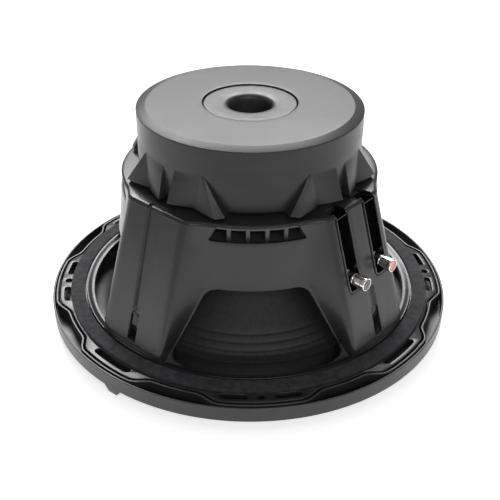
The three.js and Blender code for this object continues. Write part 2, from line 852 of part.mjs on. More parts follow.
motorScrewAzimuths.forEach((azimuth, i) => {
  const place = new THREE.Matrix4().setPosition(around(boltCircleMotor, azimuth, 0));
  add(`motor_screw_${i + 1}`, motorScrew(), "zincSteel", place);
});

for (const azimuth of terminalLegs) {
  const leg = azimuth === 45 ? "a" : "b";
  add(`terminal_housing_${leg}`, terminalHousing(), "glossBlack", legFrame(azimuth));
  for (const side of [1, -1]) {
    const pole = side > 0 ? "plus" : "minus";
    const place = terminalMatrix(azimuth, side);
    add(`terminal_post_${leg}_${pole}`, terminalPost(), "nickel", place);
    add(`terminal_cap_${leg}_${pole}`, terminalCap(), "nickel", place);
    add(`terminal_marker_${leg}_${pole}`, terminalMarker(), side > 0 ? "redLacquer" : "blackLacquer", place);
    add(`tinsel_lead_${leg}_${pole}`, tinselLead(azimuth, side), "tinsel");
  }
}

export default speaker;
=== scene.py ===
import math

import bmesh
import bpy
import numpy as np
from mathutils import Matrix, Vector
from mathutils.geometry import tessellate_polygon


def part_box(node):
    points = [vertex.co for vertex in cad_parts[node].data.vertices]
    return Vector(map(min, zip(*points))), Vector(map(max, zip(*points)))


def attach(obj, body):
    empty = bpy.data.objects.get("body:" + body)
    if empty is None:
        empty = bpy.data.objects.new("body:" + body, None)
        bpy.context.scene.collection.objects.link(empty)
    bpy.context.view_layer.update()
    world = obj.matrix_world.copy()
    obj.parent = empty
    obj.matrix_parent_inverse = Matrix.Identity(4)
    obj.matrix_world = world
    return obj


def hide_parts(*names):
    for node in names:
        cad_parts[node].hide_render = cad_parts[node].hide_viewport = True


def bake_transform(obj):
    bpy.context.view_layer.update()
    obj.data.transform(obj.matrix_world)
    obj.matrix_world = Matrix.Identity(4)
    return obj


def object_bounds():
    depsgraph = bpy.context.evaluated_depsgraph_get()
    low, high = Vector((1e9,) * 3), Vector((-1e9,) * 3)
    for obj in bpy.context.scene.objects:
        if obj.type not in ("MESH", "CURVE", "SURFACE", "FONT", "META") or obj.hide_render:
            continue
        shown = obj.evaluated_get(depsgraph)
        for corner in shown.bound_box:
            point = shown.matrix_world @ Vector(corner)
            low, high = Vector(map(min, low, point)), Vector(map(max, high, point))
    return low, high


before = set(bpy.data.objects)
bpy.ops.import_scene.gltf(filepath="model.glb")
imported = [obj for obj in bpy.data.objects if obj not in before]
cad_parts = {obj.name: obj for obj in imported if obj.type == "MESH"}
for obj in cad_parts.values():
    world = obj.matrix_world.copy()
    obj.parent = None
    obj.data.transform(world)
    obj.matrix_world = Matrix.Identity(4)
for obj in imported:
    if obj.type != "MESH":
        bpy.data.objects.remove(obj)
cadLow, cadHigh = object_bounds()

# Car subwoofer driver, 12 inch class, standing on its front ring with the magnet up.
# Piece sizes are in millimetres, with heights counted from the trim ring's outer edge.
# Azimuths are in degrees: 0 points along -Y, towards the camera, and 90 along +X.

mm = 0.001
gasketFloor = 13.8  # height of the gasket's underside
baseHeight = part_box("rear_gasket")[0].z - gasketFloor * mm  # where height 0 lies in the frame
weldGap, slimEdge = 0.004 * mm, 0.001 * mm  # points and edges this close are merged
scene = bpy.context.scene


def around(radius, azimuth, height=0.0):
    angle = math.radians(azimuth)
    return (radius * math.sin(angle), -radius * math.cos(angle), height)


def clamp(value, low=0.0, high=1.0):
    return max(low, min(high, value))


def softStep(value, low, high):
    share = clamp((value - low) / (high - low))
    return share * share * (3 - 2 * share)


def softPlus(value, width=3.0):
    # max(value, 0) with a softened corner; far above the corner the two are equal
    farAbove = 40 * width
    return value if value > farAbove else width * math.log1p(math.exp(value / width))


def mix(a, b, share):
    return a + (b - a) * share


def mixPoint(a, b, share):
    return tuple(mix(p, q, share) for p, q in zip(a, b))


def bentPoint(a, b, c, t):
    # a point of the curve that leaves a towards b and comes to c from b
    return tuple(p * (1 - t) ** 2 + q * 2 * t * (1 - t) + r * t * t for p, q, r in zip(a, b, c))


def splinePoint(a, b, c, d, t):
    # a point between b and c of the Catmull-Rom curve through all four
    return tuple(0.5 * (2 * q + (r - p) * t + (2 * p - 5 * q + 4 * r - s) * t * t
                        + (3 * q - p - 3 * r + s) * t ** 3) for p, q, r, s in zip(a, b, c, d))


def linear(hexColour):
    channels = [int(hexColour[i:i + 2], 16) / 255 for i in (1, 3, 5)]
    return tuple(c / 12.92 if c <= 0.04045 else ((c + 0.055) / 1.055) ** 2.4 for c in channels) + (1.0,)


def addNode(tree, kind, inputs=None, **settings):
    made = tree.nodes.new(kind)
    for key, value in settings.items():
        setattr(made, key, value)
    for socket, value in (inputs or {}).items():
        if isinstance(value, bpy.types.NodeSocket):
            tree.links.new(value, made.inputs[socket])
        else:
            made.inputs[socket].default_value = value
    return made


def newPiece(name, points, faces, material, sharpAngle=35, matrix=None):
    place = matrix or Matrix.Identity(4)
    mesh = bpy.data.meshes.new(name)
    mesh.from_pydata([place @ Vector(p) * mm + Vector((0, 0, baseHeight)) for p in points], [], faces)
    work = bmesh.new()
    work.from_mesh(mesh)
    bmesh.ops.remove_doubles(work, verts=work.verts, dist=weldGap)
    bmesh.ops.dissolve_degenerate(work, edges=work.edges, dist=slimEdge)
    bmesh.ops.recalc_face_normals(work, faces=work.faces)
    work.to_mesh(mesh)
    work.free()
    return linkPiece(name, mesh, material, sharpAngle)


def linkPiece(name, mesh, material, sharpAngle):
    mesh.polygons.foreach_set("use_smooth", [True] * len(mesh.polygons))
    mesh.set_sharp_from_angle(angle=math.radians(sharpAngle))
    mesh.materials.clear()
    mesh.materials.append(material)
    piece = bpy.data.objects.new(name, mesh)
    scene.collection.objects.link(piece)
    return piece


def bevelEdges(piece, widthMm, angle):
    soft = piece.modifiers.new("edges", "BEVEL")
    soft.width, soft.segments = widthMm * mm, 2
    soft.limit_method, soft.angle_limit = "ANGLE", math.radians(angle)


def applyModifiers(piece):
    bpy.context.view_layer.update()
    graph = bpy.context.evaluated_depsgraph_get()
    finished = bpy.data.meshes.new_from_object(piece.evaluated_get(graph))
    piece.modifiers.clear()
    piece.data = finished


def joinPieces(name, pieces, material, sharpAngle=35):
    work = bmesh.new()
    for piece in pieces:
        work.from_mesh(piece.data)
        bpy.data.objects.remove(piece)
    mesh = bpy.data.meshes.new(name)
    work.to_mesh(mesh)
    work.free()
    return linkPiece(name, mesh, material, sharpAngle)


def settle(piece, body, slotName, *nodes):
    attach(piece, body)
    if nodes:
        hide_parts(*nodes)
    return piece


def gridFaces(rows, columns, closeRows=True, closeColumns=True):
    faces = []
    for j in range(rows if closeRows else rows - 1):
        for i in range(columns if closeColumns else columns - 1):
            right, up = (i + 1) % columns, (j + 1) % rows
            faces.append((j * columns + i, j * columns + right, up * columns + right, up * columns + i))
    return faces


def rounded(corners, steps=4):
    # corners: (x, y) or (x, y, radius); a radius turns the corner into a soft curve
    outline = []
    nearHalf = 0.49  # neighbouring curves leave a bit of each side straight
    for i, corner in enumerate(corners):
        here = Vector(corner[:2])
        radius = corner[2] if len(corner) > 2 else 0
        if not radius:
            outline.append(tuple(here))
            continue
        before = Vector(corners[i - 1][:2]) - here
        after = Vector(corners[(i + 1) % len(corners)][:2]) - here
        reach = radius / math.tan(before.angle(after) / 2)
        reach = min(reach, nearHalf * before.length, nearHalf * after.length)
        enter = here + before.normalized() * reach
        leave = here + after.normalized() * reach
        outline += [bentPoint(enter, here, leave, k / steps) for k in range(steps + 1)]
    return outline


def turned(name, outline, material, segments=192, closed=True, sharpAngle=35, matrix=None):
    points = [around(r, 360 * i / segments, z) for r, z in outline for i in range(segments)]
    faces = gridFaces(len(outline), segments, closeRows=closed)
    return newPiece(name, points, faces, material, sharpAngle, matrix)


def layered(name, levels, material, sharpAngle=35, matrix=None):
    # levels: [height, [loop, ...]] from bottom to top; the first loop is the outline, the others are holes
    points, faces = [], []
    count = sum(len(loop) for loop in levels[0][1])
    for height, loops in levels:
        points += [(x, y, height) for loop in loops for x, y in loop]
    for j in range(len(levels) - 1):
        start = j * count
        for loop in levels[0][1]:
            size = len(loop)
            for i in range(size):
                a, b = start + i, start + (i + 1) % size
                faces.append((a, b, b + count, a + count))
            start += size
    for j in (0, len(levels) - 1):
        flat = [[Vector((x, y, 0)) for x, y in loop] for loop in levels[j][1]]
        faces += [tuple(j * count + i for i in triangle) for triangle in tessellate_polygon(flat)]
    return newPiece(name, points, faces, material, sharpAngle, matrix)


def softEdges(low, high, radius, steps=3):
    # (height, inset) pairs that round the two edges of a plate
    turns = [math.pi / 2 * k / steps for k in range(steps + 1)]
    start = [(low + radius * (1 - math.cos(t)), radius * (1 - math.sin(t))) for t in turns]
    return start + [(low + high - z, inset) for z, inset in reversed(start)]


def swept(name, route, section, material, ups=None, sharpAngle=35, matrix=None):
    # section: (sideways, up) points carried along the route; ups gives the up direction at each point
    route = [Vector(p) for p in route]
    count, size = len(route), len(section)
    points = []
    up = Vector((0, 0, 1))
    for i, p in enumerate(route):
        along = (route[min(i + 1, count - 1)] - route[max(i - 1, 0)]).normalized()
        if ups:
            up = Vector(ups[i])
        up = (up - along * up.dot(along)).normalized()
        side = along.cross(up)
        points += [p + side * x + up * y for x, y in section]
    faces = gridFaces(count, size, closeRows=False)
    faces += [tuple(range(size)), tuple(reversed(range((count - 1) * size, count * size)))]
    return newPiece(name, points, faces, material, sharpAngle, matrix)


def smoothRoute(stops, steps):
    stops = [Vector(s) for s in stops]
    ends = [stops[0] * 2 - stops[1]] + stops + [stops[-1] * 2 - stops[-2]]
    route = []
    for i in range(1, len(ends) - 2):
        route += [splinePoint(*ends[i - 1:i + 3], k / steps) for k in range(steps)]
    return route + [tuple(stops[-1])]


def outwardMatrix(azimuth, distance=0.0, height=0.0, tilt=0.0):
    # x runs sideways, towards growing azimuth, y up and z outwards
    side, out, up = Vector(around(1, azimuth + 90)), Vector(around(1, azimuth)), Vector((0, 0, 1))
    yAxis = up * math.cos(tilt) - out * math.sin(tilt)
    zAxis = out * math.cos(tilt) + up * math.sin(tilt)
    matrix = Matrix((side, yAxis, zAxis)).transposed().to_4x4()
    matrix.translation = Vector(around(distance, azimuth, height))
    return matrix


def startMaterial(name, sockets):
    material = bpy.data.materials.new(name)
    material.use_nodes = True
    tree = material.node_tree
    shader = tree.nodes["Principled BSDF"]
    for socket, value in sockets.items():
        shader.inputs[socket].default_value = value
    place = addNode(tree, "ShaderNodeTexCoord").outputs["Object"]
    return material, tree, shader, place


def cloud(tree, place, sizeMm, detail, stretch=(1, 1, 1), contrast=0.25, low=0.0, high=1.0):
    # soft blotches or grains about sizeMm across, spread between low and high
    scaled = addNode(tree, "ShaderNodeMapping", {"Vector": place, "Scale": stretch})
    noise = addNode(tree, "ShaderNodeTexNoise", {
        "Vector": scaled.outputs["Vector"], "Scale": 0.5 / (sizeMm * mm), "Detail": detail,
        "Roughness": 0.55})
    spread = addNode(tree, "ShaderNodeMapRange", {
        "Value": noise.outputs["Fac"], "From Min": 0.5 - contrast, "From Max": 0.5 + contrast,
        "To Min": low, "To Max": high})
    return spread.outputs["Result"]


def dress(tree, shader, share, tones, roughness, height, depthMm, strength):
    # two tones mixed by share, with the roughness and the relief that the maps give
    colours = addNode(tree, "ShaderNodeMix", {
        0: share, 6: linear(tones[0]), 7: linear(tones[1])}, data_type="RGBA")
    tree.links.new(colours.outputs[2], shader.inputs["Base Color"])
    if roughness:
        tree.links.new(roughness, shader.inputs["Roughness"])
    if height:
        bump = addNode(tree, "ShaderNodeBump", {
            "Height": height, "Distance": depthMm * mm, "Strength": strength})
        tree.links.new(bump.outputs["Normal"], shader.inputs["Normal"])


def cloudyFinish(name, sockets, look):
    # A map is its grain size in mm, its detail and, if need be, its stretch and contrast. A look has two
    # tones and their map, then roughness (low, high and map) and relief (depth in mm, strength and map),
    # either of which may be left out. A relief without a map follows the tones.
    material, tree, shader, place = startMaterial(name, sockets)
    share = cloud(tree, place, *look["map"])
    roughness, height, depthMm, strength = None, None, 0.0, 0.0
    if "roughness" in look:
        low, high, *grain = look["roughness"]
        roughness = cloud(tree, place, *grain, low=low, high=high)
    if "relief" in look:
        depthMm, strength, *grain = look["relief"]
        height = cloud(tree, place, *grain) if grain else share
    dress(tree, shader, share, look["tones"], roughness, height, depthMm, strength)
    return material


def powderCoatedSteel():
    # Pressed steel, electrostatic black powder coat: a satin skin with a faint orange peel.
    return cloudyFinish("satinPowderCoatedSteel", {"IOR": 1.42}, {
        "tones": ("#1c1c1e", "#272729"), "map": (30, 4),
        "roughness": (0.25, 0.34, 8, 3), "relief": (0.02, 0.6, 2.2, 1)})


def mouldedRubber():
    # EPDM rubber, compression moulded: satin grain with a slight bloom. Flow streaks run round
    # the boot, so the blotches are drawn flat.
    flat = (1, 1, 3.5)
    return cloudyFinish("mouldedEpdmRubber", {"IOR": 1.36}, {
        "tones": ("#1c1c1e", "#252527"), "map": (26, 5, flat, 0.2),
        "roughness": (0.33, 0.42, 18, 4, flat, 0.2), "relief": (0.03, 0.5, 0.7, 2)})


def closedCellFoam():
    # PVC foam tape, closed cell, die cut: dull, with fine open pits, drawn 1.1 mm wide to show.
    look = {"tones": ("#1b191c", "#323033"), "cellMm": 1.1, "pitEdges": (0.1, 0.6), "pitDepthMm": 0.18}
    material, tree, shader, place = startMaterial("dieCutClosedCellFoam", {
        "Roughness": 0.9, "Sheen Weight": 0.06, "Sheen Roughness": 0.5, "IOR": 1.4})
    cells = addNode(tree, "ShaderNodeTexVoronoi", {"Vector": place, "Scale": 1 / (look["cellMm"] * mm)})
    near, far = look["pitEdges"]
    pits = addNode(tree, "ShaderNodeMapRange", {
        "Value": cells.outputs["Distance"], "From Min": near, "From Max": far, "To Min": 1.0,
        "To Max": 0.0})
    dress(tree, shader, cloud(tree, place, 2.6, 6, contrast=0.16), look["tones"], None,
          pits.outputs["Result"], look["pitDepthMm"], 0.7)
    return material


def mouldedAbs():
    # ABS, injection moulded in a spark-eroded tool: even satin with a very fine texture.
    return cloudyFinish("mouldedAbs", {"IOR": 1.53}, {
        "tones": ("#1e1e1f", "#29292a"), "map": (18, 4),
        "roughness": (0.34, 0.44, 10, 3), "relief": (0.02, 0.5, 0.6, 1)})


def nylonSpacer():
    # Nylon with mineral filler, injection moulded: dull dark grey.
    return cloudyFinish("mineralFilledNylon", {"IOR": 1.53, "Roughness": 0.5}, {
        "tones": ("#303033", "#3b3b3e"), "map": (6, 4), "relief": (0.02, 0.5, 1.2, 2)})


def glossAbs():
    # ABS, injection moulded in a polished tool: deep gloss with soft flow waves.
    return cloudyFinish("polishedMouldedAbs", {"IOR": 1.54}, {
        "tones": ("#08080a", "#0e0e10"), "map": (12, 3),
        "roughness": (0.08, 0.16, 6, 4), "relief": (0.05, 0.35, 9, 1)})


def nickelPlatedBrass():
    # Brass, turned and nickel plated: bright and slightly warm, with faint tooling marks.
    return cloudyFinish("nickelPlatedBrass", {"Metallic": 1.0}, {
        "tones": ("#dcd9d3", "#c6c3bd"), "map": (3, 4),
        "roughness": (0.10, 0.20, 1.5, 4), "relief": (0.004, 0.3, 0.25, 2)})


def pressedPaper():
    # Paper pulp, felted and hot pressed, then treated black: matt, with short fibres.
    return cloudyFinish("pressedPaperPulp", {"Roughness": 0.62, "IOR": 1.5}, {
        "tones": ("#19191b", "#272729"), "map": (1.2, 6, (1, 0.35, 1), 0.2), "relief": (0.06, 0.6)})


def mouldedButyl():
    # Butyl rubber, compression moulded: soft satin.
    return cloudyFinish("mouldedButylRubber", {"IOR": 1.5}, {
        "tones": ("#1a1a1c", "#252527"), "map": (15, 4),
        "roughness": (0.45, 0.6, 9, 3), "relief": (0.03, 0.5, 0.9, 2)})


def phenolicCloth():
    # Cotton and aramid cloth, woven and stiffened with phenolic resin: reddish brown threads, drawn
    # 0.9 mm apart to show.
    look = {"tones": ("#3a1b14", "#6e3626"), "spacingMm": 0.9, "threadDepthMm": 0.2}
    material, tree, shader, place = startMaterial("wovenPhenolicCloth", {"Roughness": 0.7, "IOR": 1.5})
    perMetre = 2 * math.pi / (20 * look["spacingMm"] * mm)  # the node has 20 radians to a unit
    weave = []
    for direction in ("X", "Y"):
        wave = addNode(tree, "ShaderNodeTexWave", {
            "Vector": place, "Scale": perMetre}, bands_direction=direction)
        weave.append(wave.outputs["Fac"])
    crossed = addNode(tree, "ShaderNodeMath", {0: weave[0], 1: weave[1]}, operation="MULTIPLY")
    threads = crossed.outputs["Value"]
    dress(tree, shader, threads, look["tones"], None, threads, look["threadDepthMm"], 0.8)
    return material


def zincPlatedSteel():
    # Steel, machined and zinc plated: pale grey with a cloudy passivated bloom.
    return cloudyFinish("zincPlatedSteel", {"Metallic": 1.0}, {
        "tones": ("#b4b6b4", "#a5a294"), "map": (6, 4),
        "roughness": (0.28, 0.42, 4, 4), "relief": (0.02, 0.4, 0.8, 2)})


def sinteredFerrite():
    # Strontium ferrite, pressed, sintered and ground: dark grey ceramic with fine pores.
    return cloudyFinish("sinteredFerrite", {"Roughness": 0.55, "IOR": 1.9}, {
        "tones": ("#333336", "#26262a"), "map": (0.9, 5), "relief": (0.04, 0.5)})


def coatedForgedSteel():
    # Steel, forged and turned, black e-coat: semi-gloss film over blotchy metal.
    return cloudyFinish("eCoatedForgedSteel", {"IOR": 1.4}, {
        "tones": ("#232325", "#323234"), "map": (4, 5, (1, 1, 1), 0.18),
        "roughness": (0.36, 0.50, 3.2, 5, (1, 1, 1), 0.2), "relief": (0.08, 0.6, 2.4, 4)})


def enamelledCopper():
    # Copper wire, drawn and enamelled: clear amber coat over red metal.
    enamel = {"Metallic": 1.0, "Coat Weight": 0.6, "Coat Roughness": 0.15}
    return cloudyFinish("enamelledCopperWire", enamel, {
        "tones": ("#a04a30", "#7a3322"), "map": (5, 3), "roughness": (0.25, 0.4, 2, 3)})


def brushedAluminium():
    # Aluminium, rolled and brushed: fine lines run round the axis.
    return cloudyFinish("brushedAluminium", {"Metallic": 1.0}, {
        "tones": ("#b6b8ba", "#9fa1a4"), "map": (0.6, 4, (0.08, 0.08, 1)),
        "roughness": (0.3, 0.42, 3, 3), "relief": (0.01, 0.4)})


def braidedTinsel():
    # Tinned copper tinsel, braided: dull silver with small bright crossings.
    look = {"tones": ("#57534b", "#98948a"), "strandMm": 0.5, "roughness": (0.35, 0.5), "depthMm": 0.06}
    material, tree, shader, place = startMaterial("braidedTinsel", {"Metallic": 1.0})
    braid = addNode(tree, "ShaderNodeTexChecker", {"Vector": place, "Scale": 1 / (look["strandMm"] * mm)})
    low, high = look["roughness"]
    dress(tree, shader, braid.outputs["Fac"], look["tones"], cloud(tree, place, 1, 2, low=low, high=high),
          braid.outputs["Fac"], look["depthMm"], 0.6)
    return material


def colourLacquer(name, tone, shade):
    # Nitrocellulose lacquer, dipped: even colour under a thin gloss.
    return cloudyFinish(name, {"IOR": 1.5, "Coat Weight": 0.3, "Coat Roughness": 0.1}, {
        "tones": (tone, shade), "map": (1.5, 3),
        "roughness": (0.25, 0.38, 1, 3), "relief": (0.02, 0.3, 1.2, 1)})


paintedSteel = powderCoatedSteel()
bootRubber = mouldedRubber()
gasketFoam = closedCellFoam()
trimPlastic = mouldedAbs()
spacerNylon = nylonSpacer()
glossPlastic = glossAbs()
nickel = nickelPlatedBrass()
conePaper = pressedPaper()
surroundRubber = mouldedButyl()
spiderCloth = phenolicCloth()
zincSteel = zincPlatedSteel()
ferrite = sinteredFerrite()
backPlateSteel = coatedForgedSteel()
copperWire = enamelledCopper()
aluminium = brushedAluminium()
tinsel = braidedTinsel()
redLacquer = colourLacquer("redDippedLacquer", "#b4424f", "#c25f69")
blackLacquer = colourLacquer("blackDippedLacquer", "#0d0d0e", "#161617")
print("materials ready:", len(bpy.data.materials))


basketShape = {
    "top": 121.0, "wall": 2.6, "edge": 0.45,
    "plateau": (62.0, 75.0, 88.0, 95.0),  # radii of the plateau's inner edge and rings
    "strap": (100.9, 0.03),  # the strap's radius at the top and its lean
    "strapBends": ((108.0, 0.078), (72.0, 0.239)),  # below each height it leans out further
    "legTop": 101.0, "legSlope": 0.323,  # the leg's flat face
    "legHalf": (28.7, 33.0, 99.0),  # half-width at the top and the foot, drop between
    "flank": (36.0, 65.0, 72.0, 55.0),  # narrow, wide, where it starts to widen, drop
    "footFillet": 7.0, "edgeFillet": 4.0,
    "rimRadius": 2.8, "rimTurns": (0, 18, 36, 54, 72), "rimPull": 1.15,
    "coneWindow": (12.0, 71.0, 66.8, 35.5, 7.0),  # low, high, half-widths, corner
    "ventWindow": (108.0, 119.85, 35.0, 28.4, 1.0),
    "channel": (62.5, 16.6, 7.8, 3.5, 6.0),  # foot height, middle, half-width, corner, fade
    "slot": (21.1, 41.1, 4.2),  # low, high, half-width
    "groove": (2.3, 8.4, 1.6, 44.0),  # depth, half-width and dip at the rim, start
    "grooveFoot": (20.4, 21.0), "grooveEnd": (57.4, 58.6),  # fades in, and out below terminals
    "reach": 136.4,  # furthest that a leg's corners reach
    # the wall's rows, closer together where a window's corner turns
    "rows": (118.2, 117.6, 116.8, 115.2, 113.1, 111.0, 109.4, 108.6, 108.0, 104, 98, 92, 86, 80, 75.5, 73,
             71.0, 70.4, 69.4, 67.8, 66.0, 64.6, 63.6, 63.0, 62.5, 60.5, 58.6, 58.0, 57.4, 54, 50, 46, 43,
             41.1, 38, 34, 30, 27, 24.2, 22.6, 21.1, 20.4),
    # the foot's lines: strap radius and height, leg distance and height, half-width of flank and opening
    "lip": (126.8, 17.6, 134.0, 18.4, 65.8, 62.8),
    "sill": (128.4, 16.0, 134.3, 17.9, 66.6, 62.0),
    "valley": (131.6, 14.2, 135.0, 16.4, 68.0, 52.0),
    "brim": ((136.5, 16.2), (137.0, 13.1), (141.0, 13.1)),  # radius and height
}

# columns from a window's middle to a leg's: how many cross the window, which cross a channel and a slot,
# and how many there are
windowCells, channelCells, slotCells, halfCells = 8, (21, 22), (25, 26), 27


def strapRadius(height):
    radius, lean = basketShape["strap"]
    bends = sum(slope * softPlus(start - height) for start, slope in basketShape["strapBends"])
    return radius + lean * (basketShape["top"] - height) + bends


def faceDistance(height):
    return basketShape["legTop"] + (basketShape["top"] - height) * basketShape["legSlope"]


def legHalf(height):
    top, foot, drop = basketShape["legHalf"]
    return mix(top, foot, (basketShape["top"] - height) / drop)


def flankSide(height):
    narrow, wide, start, drop = basketShape["flank"]
    return mix(narrow, wide, clamp(softPlus(start - height) / drop))


def cornerPull(gap, corner):
    gap = clamp(gap, 0, corner)
    return corner - math.sqrt(max(corner ** 2 - (corner - gap) ** 2, 0))


def openingHalf(height):
    # half-width of the strap's openings, and between them of the line of points that carries their sides
    coneLow, coneHigh, wideLow, wideHigh, coneCorner = basketShape["coneWindow"]
    ventLow, ventHigh, ventWide, ventNarrow, ventCorner = basketShape["ventWindow"]
    if height >= ventLow:
        share = clamp((height - ventLow) / (ventHigh - ventLow))
        gap = min(height - ventLow, ventHigh - height)
        return mix(ventWide, ventNarrow, share) - cornerPull(gap, ventCorner)
    if height > coneHigh:
        return mix(wideHigh - coneCorner, ventWide - ventCorner, (height - coneHigh) / (ventLow - coneHigh))
    share = (height - coneLow) / (coneHigh - coneLow)
    return mix(wideLow, wideHigh, share) - cornerPull(min(coneHigh - height, height - coneLow), coneCorner)


def grooveHalf(height, terminals):
    slotHalf, wide, start = basketShape["slot"][2], basketShape["groove"][1], basketShape["groove"][3]
    share = clamp((height - start) / (basketShape["top"] - start))
    return slotHalf if terminals else mix(slotHalf, wide, share)


def channelSides(height):
    foot, middle, half, corner, fade = basketShape["channel"]
    below = corner * (1 - clamp((foot - height) / fade))
    pull = cornerPull(height - foot, corner) if height >= foot else below
    return middle + half - pull, middle - half + pull


def halfSection(row, terminals):
    # points from the middle of a window to the middle of a leg
    strap, strapHeight, leg, legHeight = row["strap"], row["strapHeight"], row["leg"], row["legHeight"]
    flankAngle = math.asin(row["flank"] / strap)
    windowAngle = math.asin(row["opening"] / strap)

    def onStrap(angle):
        return (strap * math.sin(angle), strap * math.cos(angle), strapHeight)

    def onFace(side, inset=0.0, dip=0.0):
        azimuth = math.pi / 4 - math.atan(side / leg)
        radius = min(math.hypot(side, leg - inset), basketShape["reach"])
        return (radius * math.sin(azimuth), radius * math.cos(azimuth), legHeight - dip)

    # the fillets at the flank's foot and edge shrink where the window or a short flank leaves less room
    foot, edge = onStrap(flankAngle), onFace(row["half"])
    flank = (Vector(edge) - Vector(foot)).length
    footFillet, edgeFillet, most = basketShape["footFillet"], basketShape["edgeFillet"], 0.4 * flank
    reach = clamp((flankAngle - windowAngle) * strap - 0.3, 0.2, footFillet)
    begin = onStrap(flankAngle - reach / strap)
    rise = mixPoint(foot, edge, min(reach, most) / flank)
    fall = mixPoint(edge, foot, min(edgeFillet, most) / flank)
    faceStart = onFace(row["half"] - edgeFillet)

    points = [onStrap(windowAngle * i / windowCells) for i in range(windowCells + 1)]
    points += [mixPoint(points[-1], begin, 0.5)]
    points += [bentPoint(begin, foot, rise, i / 3) for i in range(3)]
    points += [mixPoint(rise, fall, i / 3) for i in range(3)]
    points += [bentPoint(fall, edge, faceStart, i / 4) for i in range(4)]
    grooveGap, grooveLip, grooveSide = 2.4, 1.0, 1.1
    groove, dip = (row["groove"][1], 0.0) if terminals else (row["groove"][0], row["dip"])
    half = grooveHalf(legHeight, terminals)
    wide, narrow = channelSides(strapHeight)
    narrow = max(narrow, half + grooveGap)
    points += [faceStart, onFace(wide), onFace((wide + narrow) / 2), onFace(narrow)]
    points += [onFace(half + grooveLip), onFace(half), onFace(half - grooveSide, groove, dip),
               onFace(0, groove, dip)]
    return points


def wallRow(height):
    depth = basketShape["groove"][0]
    starts = softStep(height, *basketShape["grooveFoot"])
    ends = 1 - softStep(height, *basketShape["grooveEnd"])
    return {"strap": strapRadius(height), "strapHeight": height,
            "leg": faceDistance(height), "legHeight": height,
            "flank": flankSide(height), "half": legHalf(height), "opening": openingHalf(height),
            "groove": (depth * starts, depth * starts * ends), "dip": 0.0}


def rimRow(turn):
    radius = basketShape["rimRadius"]
    row = wallRow(basketShape["top"] - radius)
    height = row["strapHeight"] + radius * math.cos(turn)
    back = radius * (1 - math.sin(turn))
    dip = basketShape["groove"][2] * math.cos(turn)
    return row | {"strap": row["strap"] - back, "leg": row["leg"] - back * basketShape["rimPull"],
                  "opening": openingHalf(height), "strapHeight": height, "legHeight": height, "dip": dip}


def footRow(name):
    strap, strapHeight, leg, legHeight, flank, opening = basketShape[name]
    return {"strap": strap, "strapHeight": strapHeight, "leg": leg, "legHeight": legHeight, "flank": flank,
            "half": basketShape["legHalf"][1], "opening": opening, "groove": (0.0, 0.0), "dip": 0.0}


def fullRing(row):
    # eight mirrored copies of a half section; terminals are on the legs at azimuths 45 and 225
    ring = []
    for quarter in range(4):
        half = halfSection(row, quarter % 2 == 0)
        local = half + [(y, x, z) for x, y, z in reversed(half[1:-1])]
        turn = math.pi / 2 * quarter
        cosine, sine = math.cos(turn), math.sin(turn)
        # x is sideways and y outwards at azimuth 0, which is -Y in the frame
        ring += [(x * cosine + y * sine, x * sine - y * cosine, z) for x, y, z in local]
    return ring


def azimuthsOf(ring):
    return [math.atan2(y, x) for x, y, z in ring]


def circleRing(radius, height, azimuths):
    return [(radius * math.cos(a), radius * math.sin(a), height) for a in azimuths]


def basketRows():
    # rows from the plateau down to the brim, their heights, and the rows where the wall and the window end
    shape = basketShape
    rimRows = [rimRow(math.radians(turn)) for turn in shape["rimTurns"]]
    wallRows = [wallRow(height) for height in shape["rows"]]
    first = fullRing(rimRows[0])
    rows = [circleRing(radius, shape["top"], azimuthsOf(first)) for radius in shape["plateau"]] + [first]
    heights = [shape["top"]] * len(rows)
    for row in rimRows[1:] + wallRows:
        rows.append(fullRing(row))
        heights.append(row["strapHeight"])
    wallEnd = len(rows) - 1

    lip, sill, valley = (fullRing(footRow(name)) for name in ("lip", "sill", "valley"))
    knots = [rows[-3], rows[-1], lip, sill, valley]
    knots += [circleRing(radius, height, azimuthsOf(valley)) for radius, height in shape["brim"]]
    knots.append(knots[-1])
    for k, steps in enumerate((3, 1, 4, 5, 3, 1), start=1):
        for i in range(1, steps + 1):
            rows.append([splinePoint(*four, i / steps) for four in zip(*knots[k - 1:k + 3])])
            heights.append(-k - i / steps)  # below the wall, a mere count
    windowEnd = wallEnd + 7  # the cone window cuts the foot's first seven rows
    return rows, heights, wallEnd, windowEnd


def makeBasketShell():
    shape = basketShape
    rows, heights, wallEnd, windowEnd = basketRows()
    count = len(rows[0])
    plateauCut = 2  # the ring where the channels start
    slack = 0.01

    def spans(opening, low, high):
        return low >= opening[0] - slack and high <= opening[1] + slack

    def isOpen(j, column):
        quarter, place = divmod(column, 2 * halfCells)
        cell = min(place, 2 * halfCells - 1 - place)
        low, high = heights[j + 1], heights[j]
        onWall = j < wallEnd
        if cell < windowCells:
            inCone = high <= shape["coneWindow"][1] + slack and j < windowEnd
            return inCone or onWall and spans(shape["ventWindow"], low, high)
        if cell in channelCells:
            return quarter % 2 == 0 and j >= plateauCut and onWall and low >= shape["channel"][0] - slack
        return cell in slotCells and onWall and spans(shape["slot"], low, high)

    faces = [face for index, face in enumerate(gridFaces(len(rows), count, closeRows=False))
             if not isOpen(*divmod(index, count))]
    points = [p for row in rows for p in row]
    shell = newPiece("basketShell", points, faces, paintedSteel)
    outward = sum(f.normal.dot(Vector((f.center.x, f.center.y, 0))) * f.area for f in shell.data.polygons)
    if outward < 0:
        shell.data.flip_normals()
    thick = shell.modifiers.new("thickness", "SOLIDIFY")
    thick.thickness, thick.offset, thick.use_even_offset = shape["wall"] * mm, -1, False
    bevelEdges(shell, shape["edge"], 62)
    applyModifiers(shell)
    return shell


